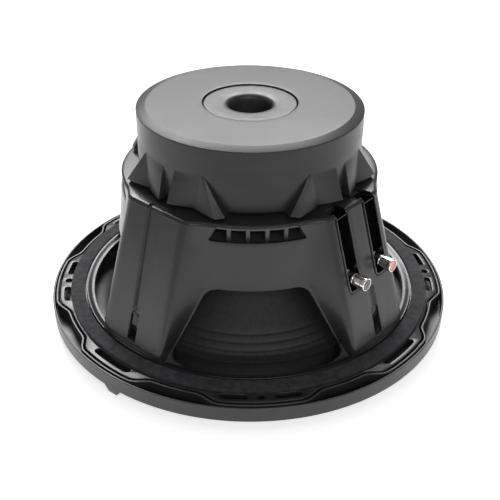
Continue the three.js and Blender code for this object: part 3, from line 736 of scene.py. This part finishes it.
flangeShape = {
    "rear": 13.5, "front": 10.0, "inner": 135.5, "lobe": 158.5, "valley": 151.0, "edge": 0.5,
    "boltCircle": 152.6, "slotHalf": 2.5, "holeRadius": 2.8, "cornerDegrees": 1.3,
    "wideLobe": (11.5, 16.5), "narrowLobe": (9.7, 13.8),  # half-angles of a lobe's top and foot
    "degreesPerMm": 0.094,  # that an offset adds to them
    "shortSlots": (7.3, 3.7), "longSlot": 7.1,  # angle from the hole and half-angle; half-angle
}


def flangeLine(offset, count=960):
    # the outline's eight lobes; averaging over a few degrees softens the corners
    shape, line = flangeShape, []
    for i in range(count):
        azimuth = 360 * i / count
        index = round(azimuth / 45)
        outer, foot = shape["wideLobe" if index % 2 == 0 else "narrowLobe"]
        grown = shape["degreesPerMm"] * offset
        away = abs(azimuth - 45 * index)
        samples = [clamp((foot + grown - abs(away + shape["cornerDegrees"] * k / 4)) / (foot - outer))
                   for k in range(-4, 5)]
        share = sum(samples) / len(samples)
        line.append(around(mix(shape["valley"], shape["lobe"], share) + offset, azimuth)[:2])
    return line


def slotLine(centre, halfAngle, halfWidth, steps=8):
    line = []
    radius = flangeShape["boltCircle"]
    endAngle = halfAngle - math.degrees(flangeShape["slotHalf"] / radius)
    for side in (1, -1):
        for i in range(steps):
            angle = centre + side * endAngle * (2 * i / steps - 1)
            line.append(around(radius + side * halfWidth, angle)[:2])
        end = centre + side * endAngle
        tip = Vector(around(radius, end)[:2])
        start = math.radians(end) + math.pi / 2 - side * math.pi / 2
        for i in range(steps + 1):
            turn = start + math.pi * i / steps
            line.append(tuple(tip + Vector((math.sin(turn), -math.cos(turn))) * halfWidth))
    return line


def circleLine(radius, count, centre=(0.0, 0.0)):
    return [(centre[0] + radius * math.sin(2 * math.pi * i / count),
             centre[1] - radius * math.cos(2 * math.pi * i / count)) for i in range(count)]


def makeFlange():
    shape = flangeShape
    levels = []
    apart, shortHalf = shape["shortSlots"]
    for height, inset in softEdges(shape["front"], shape["rear"], shape["edge"]):
        loops = [flangeLine(-inset), circleLine(shape["inner"] + inset, 240)]
        slotHalf = shape["slotHalf"] + inset
        for k in range(8):
            middle = 45 * k
            if k % 2 == 0:
                loops += [slotLine(middle + side * apart, shortHalf, slotHalf) for side in (-1, 1)]
                hole = around(shape["boltCircle"], middle)[:2]
                loops.append(circleLine(shape["holeRadius"] + inset, 28, hole))
            else:
                loops.append(slotLine(middle, shape["longSlot"], slotHalf))
        levels.append((height, loops))
    return layered("basketFlange", levels, paintedSteel)


basket = joinPieces("basketPressing", [makeBasketShell(), makeFlange()], paintedSteel, 32)
settle(basket, "frame", "basket_paint", "basket")
print("basket:", len(basket.data.polygons), "faces")


trimShape = {
    "outer": 164.5, "wall": 1.6, "rear": 13.1, "crest": -8.0, "crestInner": 140.5, "crestOuter": 150.0,
    "shoulder": (161.0, -1.6), "wallFoot": 1.0, "pocketInner": 151.5, "pocketFloor": 3.0, "seat": 7.7,
    "bead": (1.6, 3.4, 13.6, 0.55),  # inner and outer offset, rear, edge radius
    "padMiddle": -42.0,  # azimuth of the badge pad
    # the pad's corners: radius, height and half-angle
    "pad": ((149.0, -8.0, 1.5), (161.4, -8.0, 1.5), (163.6, 1.5, 2.6), (149.0, -3.0, 2.6)),
}


def makeTrimRing():
    shape = trimShape
    outer, inside = shape["outer"], shape["outer"] - shape["wall"]
    body = turned("trimBody", rounded([
        (shape["crestInner"], shape["crest"], 1.5), (shape["crestOuter"], shape["crest"], 3.0),
        (*shape["shoulder"], 4.0), (outer, shape["wallFoot"], 1.6), (outer, shape["rear"], 0.6),
        (inside, shape["rear"], 0.6), (inside, shape["pocketFloor"], 0.8),
        (shape["pocketInner"], shape["pocketFloor"], 0.8), (shape["pocketInner"], shape["seat"], 0.5),
        (shape["crestInner"], shape["seat"], 0.8)]), trimPlastic, 320)
    innerOffset, outerOffset, rear, edge = shape["bead"]
    bead = layered("trimBead", [
        (height, [flangeLine(outerOffset - inset), flangeLine(innerOffset + inset)])
        for height, inset in softEdges(shape["pocketFloor"] - 1, rear, edge)], trimPlastic)
    pad = [around(radius, shape["padMiddle"] + spread * k / 4, height)
           for radius, height, spread in shape["pad"] for k in range(-4, 5)]
    padEnds = [(0, 9, 18, 27), (8, 17, 26, 35)]
    badgePad = newPiece("badgePad", pad, gridFaces(4, 9, closeColumns=False) + padEnds, trimPlastic)
    bevelEdges(badgePad, 0.5, 30)
    applyModifiers(badgePad)
    return joinPieces("trimRingMoulding", [body, bead, badgePad], trimPlastic, 32)


settle(makeTrimRing(), "frame", "trim_ring", "trim_ring")

gasketShape = {"inner": 137.8, "middle": 143.6, "outer": 149.5, "thickness": 2.5, "edge": 0.9}
gasketTop = gasketFloor + gasketShape["thickness"]
gasket = turned("rearGasketTape", rounded([
    (gasketShape["inner"], gasketFloor), (gasketShape["outer"], gasketFloor),
    (gasketShape["outer"], gasketTop, gasketShape["edge"]), (gasketShape["middle"], gasketTop),
    (gasketShape["inner"], gasketTop, gasketShape["edge"])]), gasketFoam, 320)
settle(gasket, "frame", "gasket_foam", "rear_gasket")
print("ring and gasket ready")


bootShape = {
    "radius": 86.5, "inner": 80.3, "front": 124.0, "rear": 172.4, "flatRadius": 79.2, "shoulder": 170.3,
    "hole": 36.3, "seat": 166.8, "seatOuter": 76.5, "skirt": 164.5, "lugFoot": 123.5,
    # a lug's lines, from a window's middle to a leg's:
    # azimuth and height at the top, then azimuth and radius at the foot
    "lugLines": [(24.7, 149.2, 13.3, 86.5), (24.9, 149.2, 13.6, 95.0), (25.2, 149.2, 17.3, 98.6),
                 (26.0, 149.9, 30.2, 89.0), (41.2, 148.1, 42.5, 94.0), (41.5, 148.1, 42.8, 86.5)],
    "cells": (8, 2, 4, 10, 10, 2, 3),  # columns before, between and after those lines
    "footEdge": (0.5, 0.8),  # pull and height of the softened lower edge
}


def bootLevel(height):
    # azimuth and radius along an eighth of the boot's outer wall
    base = bootShape["radius"]
    knots = [(0.0, base)]
    for topAzimuth, top, footAzimuth, footRadius in bootShape["lugLines"]:
        share = clamp((top - height) / (top - bootShape["lugFoot"]))
        knots.append((mix(topAzimuth, footAzimuth, share), mix(base, footRadius, share)))
    knots.append((45.0, base))
    level = []
    for start, end, cells in zip(knots, knots[1:], bootShape["cells"]):
        level += [mixPoint(start, end, k / cells) for k in range(cells)]
    return level + [knots[-1]]


def makeBoot():
    shape = bootShape
    heights = [123.5, 123.8, 124.3, 125.2] + [126.4 + 1.55 * k for k in range(15)]
    heights += [148.8, 149.5, 150.4, 152, 156, 160, 164, 167, 169.2]

    def fullLevel(height):
        # mirrored round the four windows and the four legs
        level = bootLevel(height)
        half = level + [(90 - azimuth, radius) for azimuth, radius in reversed(level[1:-1])]
        return [(90 * k + azimuth, radius) for k in range(4) for azimuth, radius in half]

    rows = []
    mostPull, edgeHeight = shape["footEdge"]
    for height in heights:
        share = clamp((height - heights[0]) / edgeHeight)
        pull = mostPull * (1 - math.sqrt(max(1 - (1 - share) ** 2, 0)))
        rows.append([around(radius - pull, azimuth, height) for azimuth, radius in fullLevel(height)])
    azimuths = [azimuth for azimuth, radius in fullLevel(heights[-1])]
    outer = rounded([
        (shape["radius"], heights[-1]), (shape["radius"], shape["shoulder"], 0.9),
        (shape["flatRadius"], shape["rear"], 1.2), (shape["hole"], shape["rear"], 0.7),
        (shape["hole"], shape["seat"]), (shape["seatOuter"], shape["seat"]),
        (shape["inner"], shape["skirt"], 1.0), (shape["inner"], shape["front"], 0.8)], 5)
    flat = [(mix(shape["flatRadius"], shape["hole"], k / 8), shape["rear"]) for k in range(1, 8)]
    rim = 13  # points of the outline before the flat rear
    for radius, height in outer[1:rim] + flat + outer[rim:]:
        rows.append([around(radius, azimuth, height) for azimuth in azimuths])
    points = [p for row in rows for p in row]
    return newPiece("magnetBootMoulding", points, gridFaces(len(rows), len(azimuths)), bootRubber, 17)


settle(makeBoot(), "frame", "boot_rubber", "magnet_boot")
print("boot ready")


plateShape = {
    "vent": 16.2, "pole": 31.2, "poleFront": 118.0, "front": 154.9, "rear": 166.5, "outer": 76.0,
    "boss": 35.6, "bossRear": 171.4,
    # the vent's flare: radius and depth below the boss
    "flare": ((24.0, 0), (22.0, 0.12), (20.2, 0.35), (18.8, 0.75), (17.8, 1.35), (17.1, 2.2), (16.6, 3.4),
              (16.3, 5.0), (16.2, 7.0)),
}


def makeBackPlate():
    shape = plateShape
    rear = shape["bossRear"]
    flare = [(radius, rear - depth) for radius, depth in shape["flare"]]
    outline = rounded([
        (shape["vent"], 150.0), (shape["vent"], 135.0), (shape["vent"], 121.0, 1.0),
        (19.0, shape["poleFront"], 1.0), (29.5, shape["poleFront"], 1.0),
        (shape["pole"], 119.7, 1.0), (shape["pole"], shape["front"], 0.6),
        (shape["outer"], shape["front"], 0.6), (shape["outer"], shape["rear"], 0.8),
        (shape["boss"], shape["rear"], 0.8), (shape["boss"], rear, 0.9), (31.0, rear)] + flare, 4)
    return turned("backPlateForging", outline, backPlateSteel, 256)


settle(makeBackPlate(), "frame", "back_plate_steel", "back_plate")


def finishNode(name, material):
    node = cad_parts[name]
    node.data.materials.clear()
    node.data.materials.append(material)
    node.data.polygons.foreach_set("material_index", [0] * len(node.data.polygons))
    bevelEdges(node, 0.3, 40)


plainParts = {"front_plate": zincSteel, "magnet_front": ferrite, "magnet_rear": ferrite,
              "shorting_ring": aluminium, "coil_former": aluminium, "spacer_ring": spacerNylon}
for name, material in plainParts.items():
    finishNode(name, material)

screwShape = {
    "circle": 70.0, "azimuths": (22.5, 112.5, 202.5, 292.5),
    "outline": ((0, 114.6), (2.0, 114.5), (3.7, 114.9, 0.8), (4.6, 116.4, 0.8), (4.6, 118.1, 0.3),
                (2.4, 118.1, 0.2), (2.4, 128.0, 0.5), (0, 128.0)),
}


def makeMotorScrew(index, azimuth):
    # pan head, head down under the plateau
    place = Matrix.Translation(around(screwShape["circle"], azimuth))
    outline = rounded(screwShape["outline"])
    screw = turned(f"motorScrew{index}", outline, zincSteel, 32, closed=False, matrix=place)
    return settle(screw, "frame", "zinc_steel", f"motor_screw_{index}")


for index, azimuth in enumerate(screwShape["azimuths"], start=1):
    makeMotorScrew(index, azimuth)


def makeWinding(name, low, high, node):
    # round wire in one layer, each turn drawn as its own ridge
    shape = {"inner": 32.9, "outer": 35.3, "wireMm": 0.92, "ridge": 0.4}
    turns = round((high - low) / shape["wireMm"])
    pitch = (high - low) / turns
    ridge = []
    for k in range(turns):
        for share in (0.0, 0.2, 0.5, 0.8):
            swell = math.sqrt(max(1 - (2 * share - 1) ** 2, 0))
            ridge.append((shape["outer"] - shape["ridge"] * (1 - swell), low + (k + share) * pitch))
    outline = [(shape["inner"], low)] + ridge
    outline += [(shape["outer"] - shape["ridge"], high), (shape["inner"], high)]
    winding = turned(name, outline, copperWire, 128, sharpAngle=60)
    return settle(winding, "moving_cone", "winding_wire", node)


makeWinding("windingFrontWire", 112.3, 126.0, "winding_front")
makeWinding("windingRearWire", 126.4, 140.0, "winding_rear")
print("motor ready")


coneShape = {
    "neck": 34.0, "edge": 113.0, "flat": 7.0, "edgeHeight": 10.0, "neckHeight": 76.0, "wall": 1.3,
    "curve": 1.12, "rings": (92.0, 97.0, 102.0), "ringRise": 0.55, "ringWidth": 0.9,
    "collar": ((32.9, 73.0), (32.9, 80.0), (34.1, 80.0), (34.3, 77.8)),  # glued round the coil former
    "capRim": 60.0, "capRise": 22.0, "capWall": 1.3,
}


def coneHeight(radius):
    shape = coneShape
    start = shape["edge"] - shape["flat"]
    share = max((start - radius) / (start - shape["neck"]), 0)
    return shape["edgeHeight"] + (shape["neckHeight"] - shape["edgeHeight"]) * share ** shape["curve"]


def makeCone():
    shape = coneShape
    flatStart = shape["edge"] - shape["flat"]
    rear, front = [], []
    radius = 35.5
    while radius < flatStart:
        # pressed stiffening rings near the edge, where the points are closer together
        press = sum(math.exp(-((radius - ring) / shape["ringWidth"]) ** 2) for ring in shape["rings"])
        rear.append((radius, coneHeight(radius) + shape["wall"] - shape["ringRise"] * press))
        front.append((radius, coneHeight(radius)))
        radius += 0.5 if radius > 88 else 2.5
    edge = [(106.2, 11.4), (shape["edge"], 11.3), (shape["edge"], 10.0), (106.2, 10.0)]
    outline = list(shape["collar"]) + rear + edge + front[::-3]
    return turned("conePressing", outline, conePaper, 160, sharpAngle=50)


def makeDustCap():
    rim, rise, wall = coneShape["capRim"], coneShape["capRise"], coneShape["capWall"]
    rimHeight = coneHeight(rim) - 0.3
    outside, inside = [], []
    for i in range(25):
        share = i / 24
        drop = rise * (1 - share * share)
        outside.append((rim * share, rimHeight - 2 * wall - drop))
        inside.append(((rim - 1.5) * share, rimHeight - wall - drop))
    outline = outside + [(rim + 0.6, rimHeight - 2.0), (rim + 0.5, rimHeight - wall)] + inside[::-1]
    return turned("dustCapPressing", outline, conePaper, 128, closed=False, sharpAngle=50)


settle(makeCone(), "moving_cone", "cone", "cone")
settle(makeDustCap(), "moving_cone", "cone", "dust_cap")


def stretchBetween(piece):
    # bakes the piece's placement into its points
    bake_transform(piece)


def makeSurround():
    shape = {"middle": 126.0, "radius": 13.0, "height": 8.9, "half": 0.7, "inner": 106.0, "outer": 149.6}

    def roll(radius):
        angles = [math.pi * (1 - i / 32) for i in range(33)]
        return [(shape["middle"] + radius * math.cos(a), shape["height"] - radius * math.sin(a))
                for a in angles]

    low, high = shape["height"] - shape["half"], shape["height"] + shape["half"]
    outline = [(shape["inner"], high), (shape["inner"], low)] + roll(shape["radius"] + shape["half"])
    outline += [(shape["outer"], low), (shape["outer"], high)] + roll(shape["radius"] - shape["half"])[::-1]
    return turned("surroundRoll", outline, surroundRubber, 160)


surround = makeSurround()
stretchBetween(surround)
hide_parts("surround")


def makeSpider():
    shape = {"collar": 32.9, "height": 102.7, "wave": 1.8, "first": 38.0, "last": 81.0, "waves": 3,
             "half": 0.45, "rim": (84.0, 87.9), "neckHigh": 106.9, "neckLow": 101.2, "neckOuter": 34.4}
    steps = 72
    middle = []
    for i in range(steps + 1):
        radius = mix(shape["first"], shape["last"], i / steps)
        swing = math.cos(2 * math.pi * shape["waves"] * i / steps)
        middle.append((radius, shape["height"] - shape["wave"] * (1 - swing)))
    middle += [(radius, shape["height"]) for radius in shape["rim"]]
    low = [(r, z - shape["half"]) for r, z in middle]
    high = [(r, z + shape["half"]) for r, z in middle]
    neck = [(shape["collar"], shape["neckHigh"]), (shape["collar"], shape["neckLow"]),
            (shape["neckOuter"], shape["neckLow"])]
    outline = neck + low + high[::-1] + [(shape["neckOuter"] + 0.1, shape["neckHigh"])]
    return turned("spiderCloth", outline, spiderCloth, 128)


spider = makeSpider()
stretchBetween(spider)
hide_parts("spider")
print("suspension ready")


housingShape = {
    # heights below the basket's top, along the leg's face, and depths out from it
    "top": -3.0, "wall": 1.4, "edge": 0.3,
    "channelMiddle": 16.6, "channelHalf": 7.5, "foot": -61.2, "depths": (-11.0, 0.2), "corners": (3.2, 2.2),
    "plateHalf": 26.5, "plateFoot": -66.0, "plateDepths": (-12.6, -10.1), "plateCorner": 4.0,
    # the lip round each channel: where its sides start, its bend over the basket's rim and how far it goes on
    "lipTop": -6.0, "lipBend": 3.2, "lipReach": 6.5, "lipHeight": 1.2, "lipDepth": 0.1, "lipCorner": 3.0,
    "lipSection": ((0.75, -0.7), (0.75, 0.35), (0.45, 0.65), (0.0, 0.75), (-0.45, 0.65), (-0.75, 0.35),
                   (-0.75, -0.7)),
}


def channelLoop(half, foot, top, corner, middle=0.0, steps=6):
    # an upright outline with its two lower corners rounded, counter-clockwise
    line = [(middle + half, top), (middle - half, top)]
    for cornerMiddle, start in ((middle - half + corner, math.pi), (middle + half - corner, 1.5 * math.pi)):
        for i in range(steps + 1):
            turn = start + math.pi / 2 * i / steps
            line.append((cornerMiddle + corner * math.cos(turn), foot + corner + corner * math.sin(turn)))
    return line


def lipRoute(middle):
    # over the basket's rim, down one side of the channel, round its foot, up the other and over again
    shape = housingShape
    bend, reach, depth = shape["lipBend"], shape["lipReach"], shape["lipDepth"]
    over = [(-bend - reach * (1 - k / 4), shape["lipHeight"]) for k in range(5)]
    for angle in (18, 36, 54, 72, 90):
        turn = math.radians(angle)
        over.append((-bend + bend * math.sin(turn), shape["lipHeight"] - bend * (1 - math.cos(turn))))
    overUps = []
    for out, height in over:
        turn = math.pi / 2 * clamp((out + bend) / bend)
        overUps.append((0, math.cos(turn), math.sin(turn)))
    half = shape["channelHalf"] - shape["wall"] / 2
    foot = shape["foot"] + shape["wall"] / 2
    down = channelLoop(half, foot, shape["lipTop"], shape["lipCorner"], middle, 8)[1:]
    down.append((middle + half, shape["lipTop"]))
    route = [(middle - half, height - 0.6, out + depth) for out, height in over]
    route += [(x, y, depth) for x, y in down]
    route += [(middle + half, height - 0.6, out + depth) for out, height in reversed(over)]
    return route, overUps + [(0, 0, 1)] * len(down) + overUps[::-1]


def makeHousing(leg, azimuth):
    shape = housingShape
    faceTilt = math.atan(basketShape["legSlope"])
    matrix = outwardMatrix(azimuth, basketShape["legTop"], basketShape["top"], faceTilt)
    foot, top, wall, half = shape["foot"], shape["top"], shape["wall"], shape["channelHalf"]
    plate = [(depth, [channelLoop(shape["plateHalf"] - inset, shape["plateFoot"] + inset, top - inset,
                                  shape["plateCorner"])])
             for depth, inset in softEdges(*shape["plateDepths"], 0.4)]
    pieces = [layered("plate", plate, glossPlastic, matrix=matrix)]
    outerCorner, innerCorner = shape["corners"]
    for side in (-1, 1):
        middle = side * shape["channelMiddle"]
        levels = []
        for depth, inset in softEdges(*shape["depths"], shape["edge"]):
            outer = channelLoop(half - inset, foot + inset, top, outerCorner, middle)
            inner = channelLoop(half - wall + inset, foot + wall - inset, top - 0.6, innerCorner, middle)
            levels.append((depth, [outer, inner]))
        pieces.append(layered(f"trough{side}", levels, glossPlastic, matrix=matrix))
        route, ups = lipRoute(middle)
        pieces.append(swept(f"lip{side}", route, shape["lipSection"], glossPlastic, ups, 50, matrix))
    housing = joinPieces(f"terminalHousing_{leg}", pieces, glossPlastic, 40)
    return settle(housing, "frame", "terminal_plastic", f"terminal_housing_{leg}")


# a terminal's place beside the leg's middle and its height, then outlines of radius, distance from the
# driver's axis and, at a corner, its softness
terminalShape = {
    "side": 17.0, "height": 72.0,
    "post": ((0, 96.5), (2.2, 96.5, 0.3), (2.8, 97.3, 0.3), (2.8, 109.0), (5.4, 109.0, 0.4),
             (5.4, 111.6, 0.5), (4.1, 111.6, 0.2), (4.1, 122.1, 0.4), (3.6, 122.6, 0.3), (0, 122.6)),
    # the push sleeve has a wire gap, a collar and a recessed end
    "cap": ((0, 126.3), (4.4, 126.3), (4.4, 115.0, 0.2), (4.9, 115.0, 0.3), (4.9, 118.2, 0.1),
            (4.7, 118.5, 0.1), (4.7, 119.1, 0.1), (4.9, 119.4, 0.1), (4.9, 125.4, 0.3), (5.2, 125.8, 0.3),
            (5.2, 128.5, 0.4), (4.8, 128.9, 0.3), (4.2, 128.9, 0.2), (4.1, 127.8), (0, 127.8)),
    "marker": ((0, 128.0), (3.9, 128.0), (3.9, 128.6), (3.7, 128.85), (3.1, 128.8), (2.3, 128.65),
               (1.1, 128.5), (0, 128.45)),
}

# a lead's stops from post to coil: sideways, up and out, as seen from the front of its leg
leadShape = {
    "radius": 1.05, "sides": 10,
    "stops": ((17.0, 72.0, 96.1), (17.0, 71.6, 92.0), (17.6, 68.0, 84.0), (19.0, 64.0, 73.0),
              (21.0, 63.6, 61.0), (22.0, 68.0, 49.0), (21.4, 76.0, 39.0), (20.4, 84.0, 31.0),
              (20.0, 92.0, 28.2)),
    "held": (0.1, 0.12),  # shares of the span meant to stay with the post and with the cone
}


def makeTerminalPart(name, part, matrix, material, segments=48):
    return turned(name, rounded(terminalShape[part]), material, segments, closed=False, matrix=matrix)


def makeLead(leg, pole, azimuth, side):
    place = outwardMatrix(azimuth)
    route = smoothRoute([place @ Vector((side * x, y, z)) for x, y, z in leadShape["stops"]], 10)
    angles = [2 * math.pi * i / leadShape["sides"] for i in range(leadShape["sides"])]
    section = [(leadShape["radius"] * math.cos(a), leadShape["radius"] * math.sin(a)) for a in angles]
    lead = swept(f"tinselLead_{leg}_{pole}", route, section, tinsel)
    stretchBetween(lead)
    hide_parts(f"tinsel_lead_{leg}_{pole}")


for leg, azimuth in (("a", 45), ("b", 225)):
    makeHousing(leg, azimuth)
    for pole, side in (("plus", 1), ("minus", -1)):
        shift = Matrix.Translation((side * terminalShape["side"], terminalShape["height"], 0))
        matrix = outwardMatrix(azimuth) @ shift
        body = f"push_{leg}_{pole}"
        post = makeTerminalPart(f"terminalPost_{leg}_{pole}", "post", matrix, nickel)
        settle(post, "frame", "nickel", f"terminal_post_{leg}_{pole}")
        cap = makeTerminalPart(f"terminalCap_{leg}_{pole}", "cap", matrix, nickel, 64)
        settle(cap, body, "nickel", f"terminal_cap_{leg}_{pole}")
        colour, slotName = (redLacquer, "marker_red") if side > 0 else (blackLacquer, "marker_black")
        marker = makeTerminalPart(f"terminalMarker_{leg}_{pole}", "marker", matrix, colour)
        settle(marker, body, slotName, f"terminal_marker_{leg}_{pole}")
        makeLead(leg, pole, azimuth, side)
print("terminals ready")


studio = {
    "floorSize": 14.0, "floorTone": "#f4f4f4", "floorShade": "#f1f1f1",
    # painted light: the floor's emission strength, a glow from a floor that is no lamp
    "paintedFloorGlow": (0.62, 0.16), "paintedGlowReach": (0.38, 0.95),  # near and far, and where it fades, in metres
    "paintedGlowCentre": 0.42,  # how far in front of the axis it is brightest
    "worldTone": "#ffffff", "worldStrength": 0.36,
    "cameraSpot": (-0.0370, -0.5876, 0.4163), "pitch": 57.94, "heading": -3.6, "roll": 0.53,
    "lens": 59.42, "shift": 0.00234,
    # name: place, target, size and power
    "lights": {"backSoftbox": ((-0.08, 1.57, 1.64), (0, 0, 0.15), (1.5, 1.1), 78),
               "frontFill": ((0.25, -1.9, 1.25), (0, -0.15, 0.05), (1.6, 0.8), 16),
               "topSoftbox": ((0.0, 0.2, 2.2), (0, 0, 0.1), (1.6, 1.6), 4)},
}


def paperWithPaintedGlow():
    # Seamless background paper, rolled: matt and nearly white. Its emission is painted light: a glow that is
    # brightest a little in front of the driver and fades outwards, and it also lights the driver from the
    # floor.
    material, tree, shader, place = startMaterial("seamlessPaperPaintedGlow", {
        "Roughness": 0.9, "Emission Color": linear(studio["floorTone"])})
    ahead = addNode(tree, "ShaderNodeVectorMath", {
        0: place, 1: (0.0, studio["paintedGlowCentre"], 0.0)}, operation="ADD")
    distance = addNode(tree, "ShaderNodeVectorMath", {0: ahead.outputs["Vector"]}, operation="LENGTH")
    near, far = studio["paintedGlowReach"]
    bright, dim = studio["paintedFloorGlow"]
    # painted pool of light: the emission fades from bright to dim with distance from its centre
    glow = addNode(tree, "ShaderNodeMapRange", {
        "Value": distance.outputs["Value"], "From Min": near, "From Max": far,
        "To Min": bright, "To Max": dim}, interpolation_type="SMOOTHSTEP")
    tree.links.new(glow.outputs["Result"], shader.inputs["Emission Strength"])
    dress(tree, shader, cloud(tree, place, 120, 3), (studio["floorTone"], studio["floorShade"]), None,
          cloud(tree, place, 3, 3), 0.05, 0.1)
    return material


def makeFloor():
    half = studio["floorSize"] / 2
    mesh = bpy.data.meshes.new("paperFloor")
    mesh.from_pydata([(-half, -half, cadLow.z), (half, -half, cadLow.z), (half, half, cadLow.z),
                      (-half, half, cadLow.z)], [], [(0, 1, 2, 3)])
    mesh.materials.append(paperWithPaintedGlow())
    floor = bpy.data.objects.new("paperFloor", mesh)
    scene.collection.objects.link(floor)


def areaLight(name, spot, target, size, power):
    light = bpy.data.lights.new(name, "AREA")
    light.shape, light.size, light.size_y, light.energy = "RECTANGLE", size[0], size[1], power
    lamp = bpy.data.objects.new(name, light)
    lamp.location = spot
    lamp.rotation_euler = (Vector(target) - Vector(spot)).to_track_quat("-Z", "Y").to_euler()
    scene.collection.objects.link(lamp)


def makeStudio():
    makeFloor()
    world = bpy.data.worlds.new("softBox")
    world.use_nodes = True
    backdrop = world.node_tree.nodes["Background"]
    backdrop.inputs["Color"].default_value = linear(studio["worldTone"])
    backdrop.inputs["Strength"].default_value = studio["worldStrength"]
    scene.world = world
    for name, (spot, target, size, power) in studio["lights"].items():
        areaLight(name, spot, target, size, power)


def makeCamera():
    lens = bpy.data.cameras.new("camera")
    lens.lens, lens.sensor_width, lens.shift_x = studio["lens"], 36.0, studio["shift"]
    camera = bpy.data.objects.new("camera", lens)
    turn = (Matrix.Rotation(math.radians(studio["heading"]), 4, "Z")
            @ Matrix.Rotation(math.radians(studio["pitch"]), 4, "X")
            @ Matrix.Rotation(math.radians(studio["roll"]), 4, "Z"))
    camera.matrix_world = Matrix.Translation(studio["cameraSpot"]) @ turn
    scene.collection.objects.link(camera)
    scene.camera = camera


makeStudio()
makeCamera()
scene.view_settings.view_transform = "Standard"
print("studio ready")
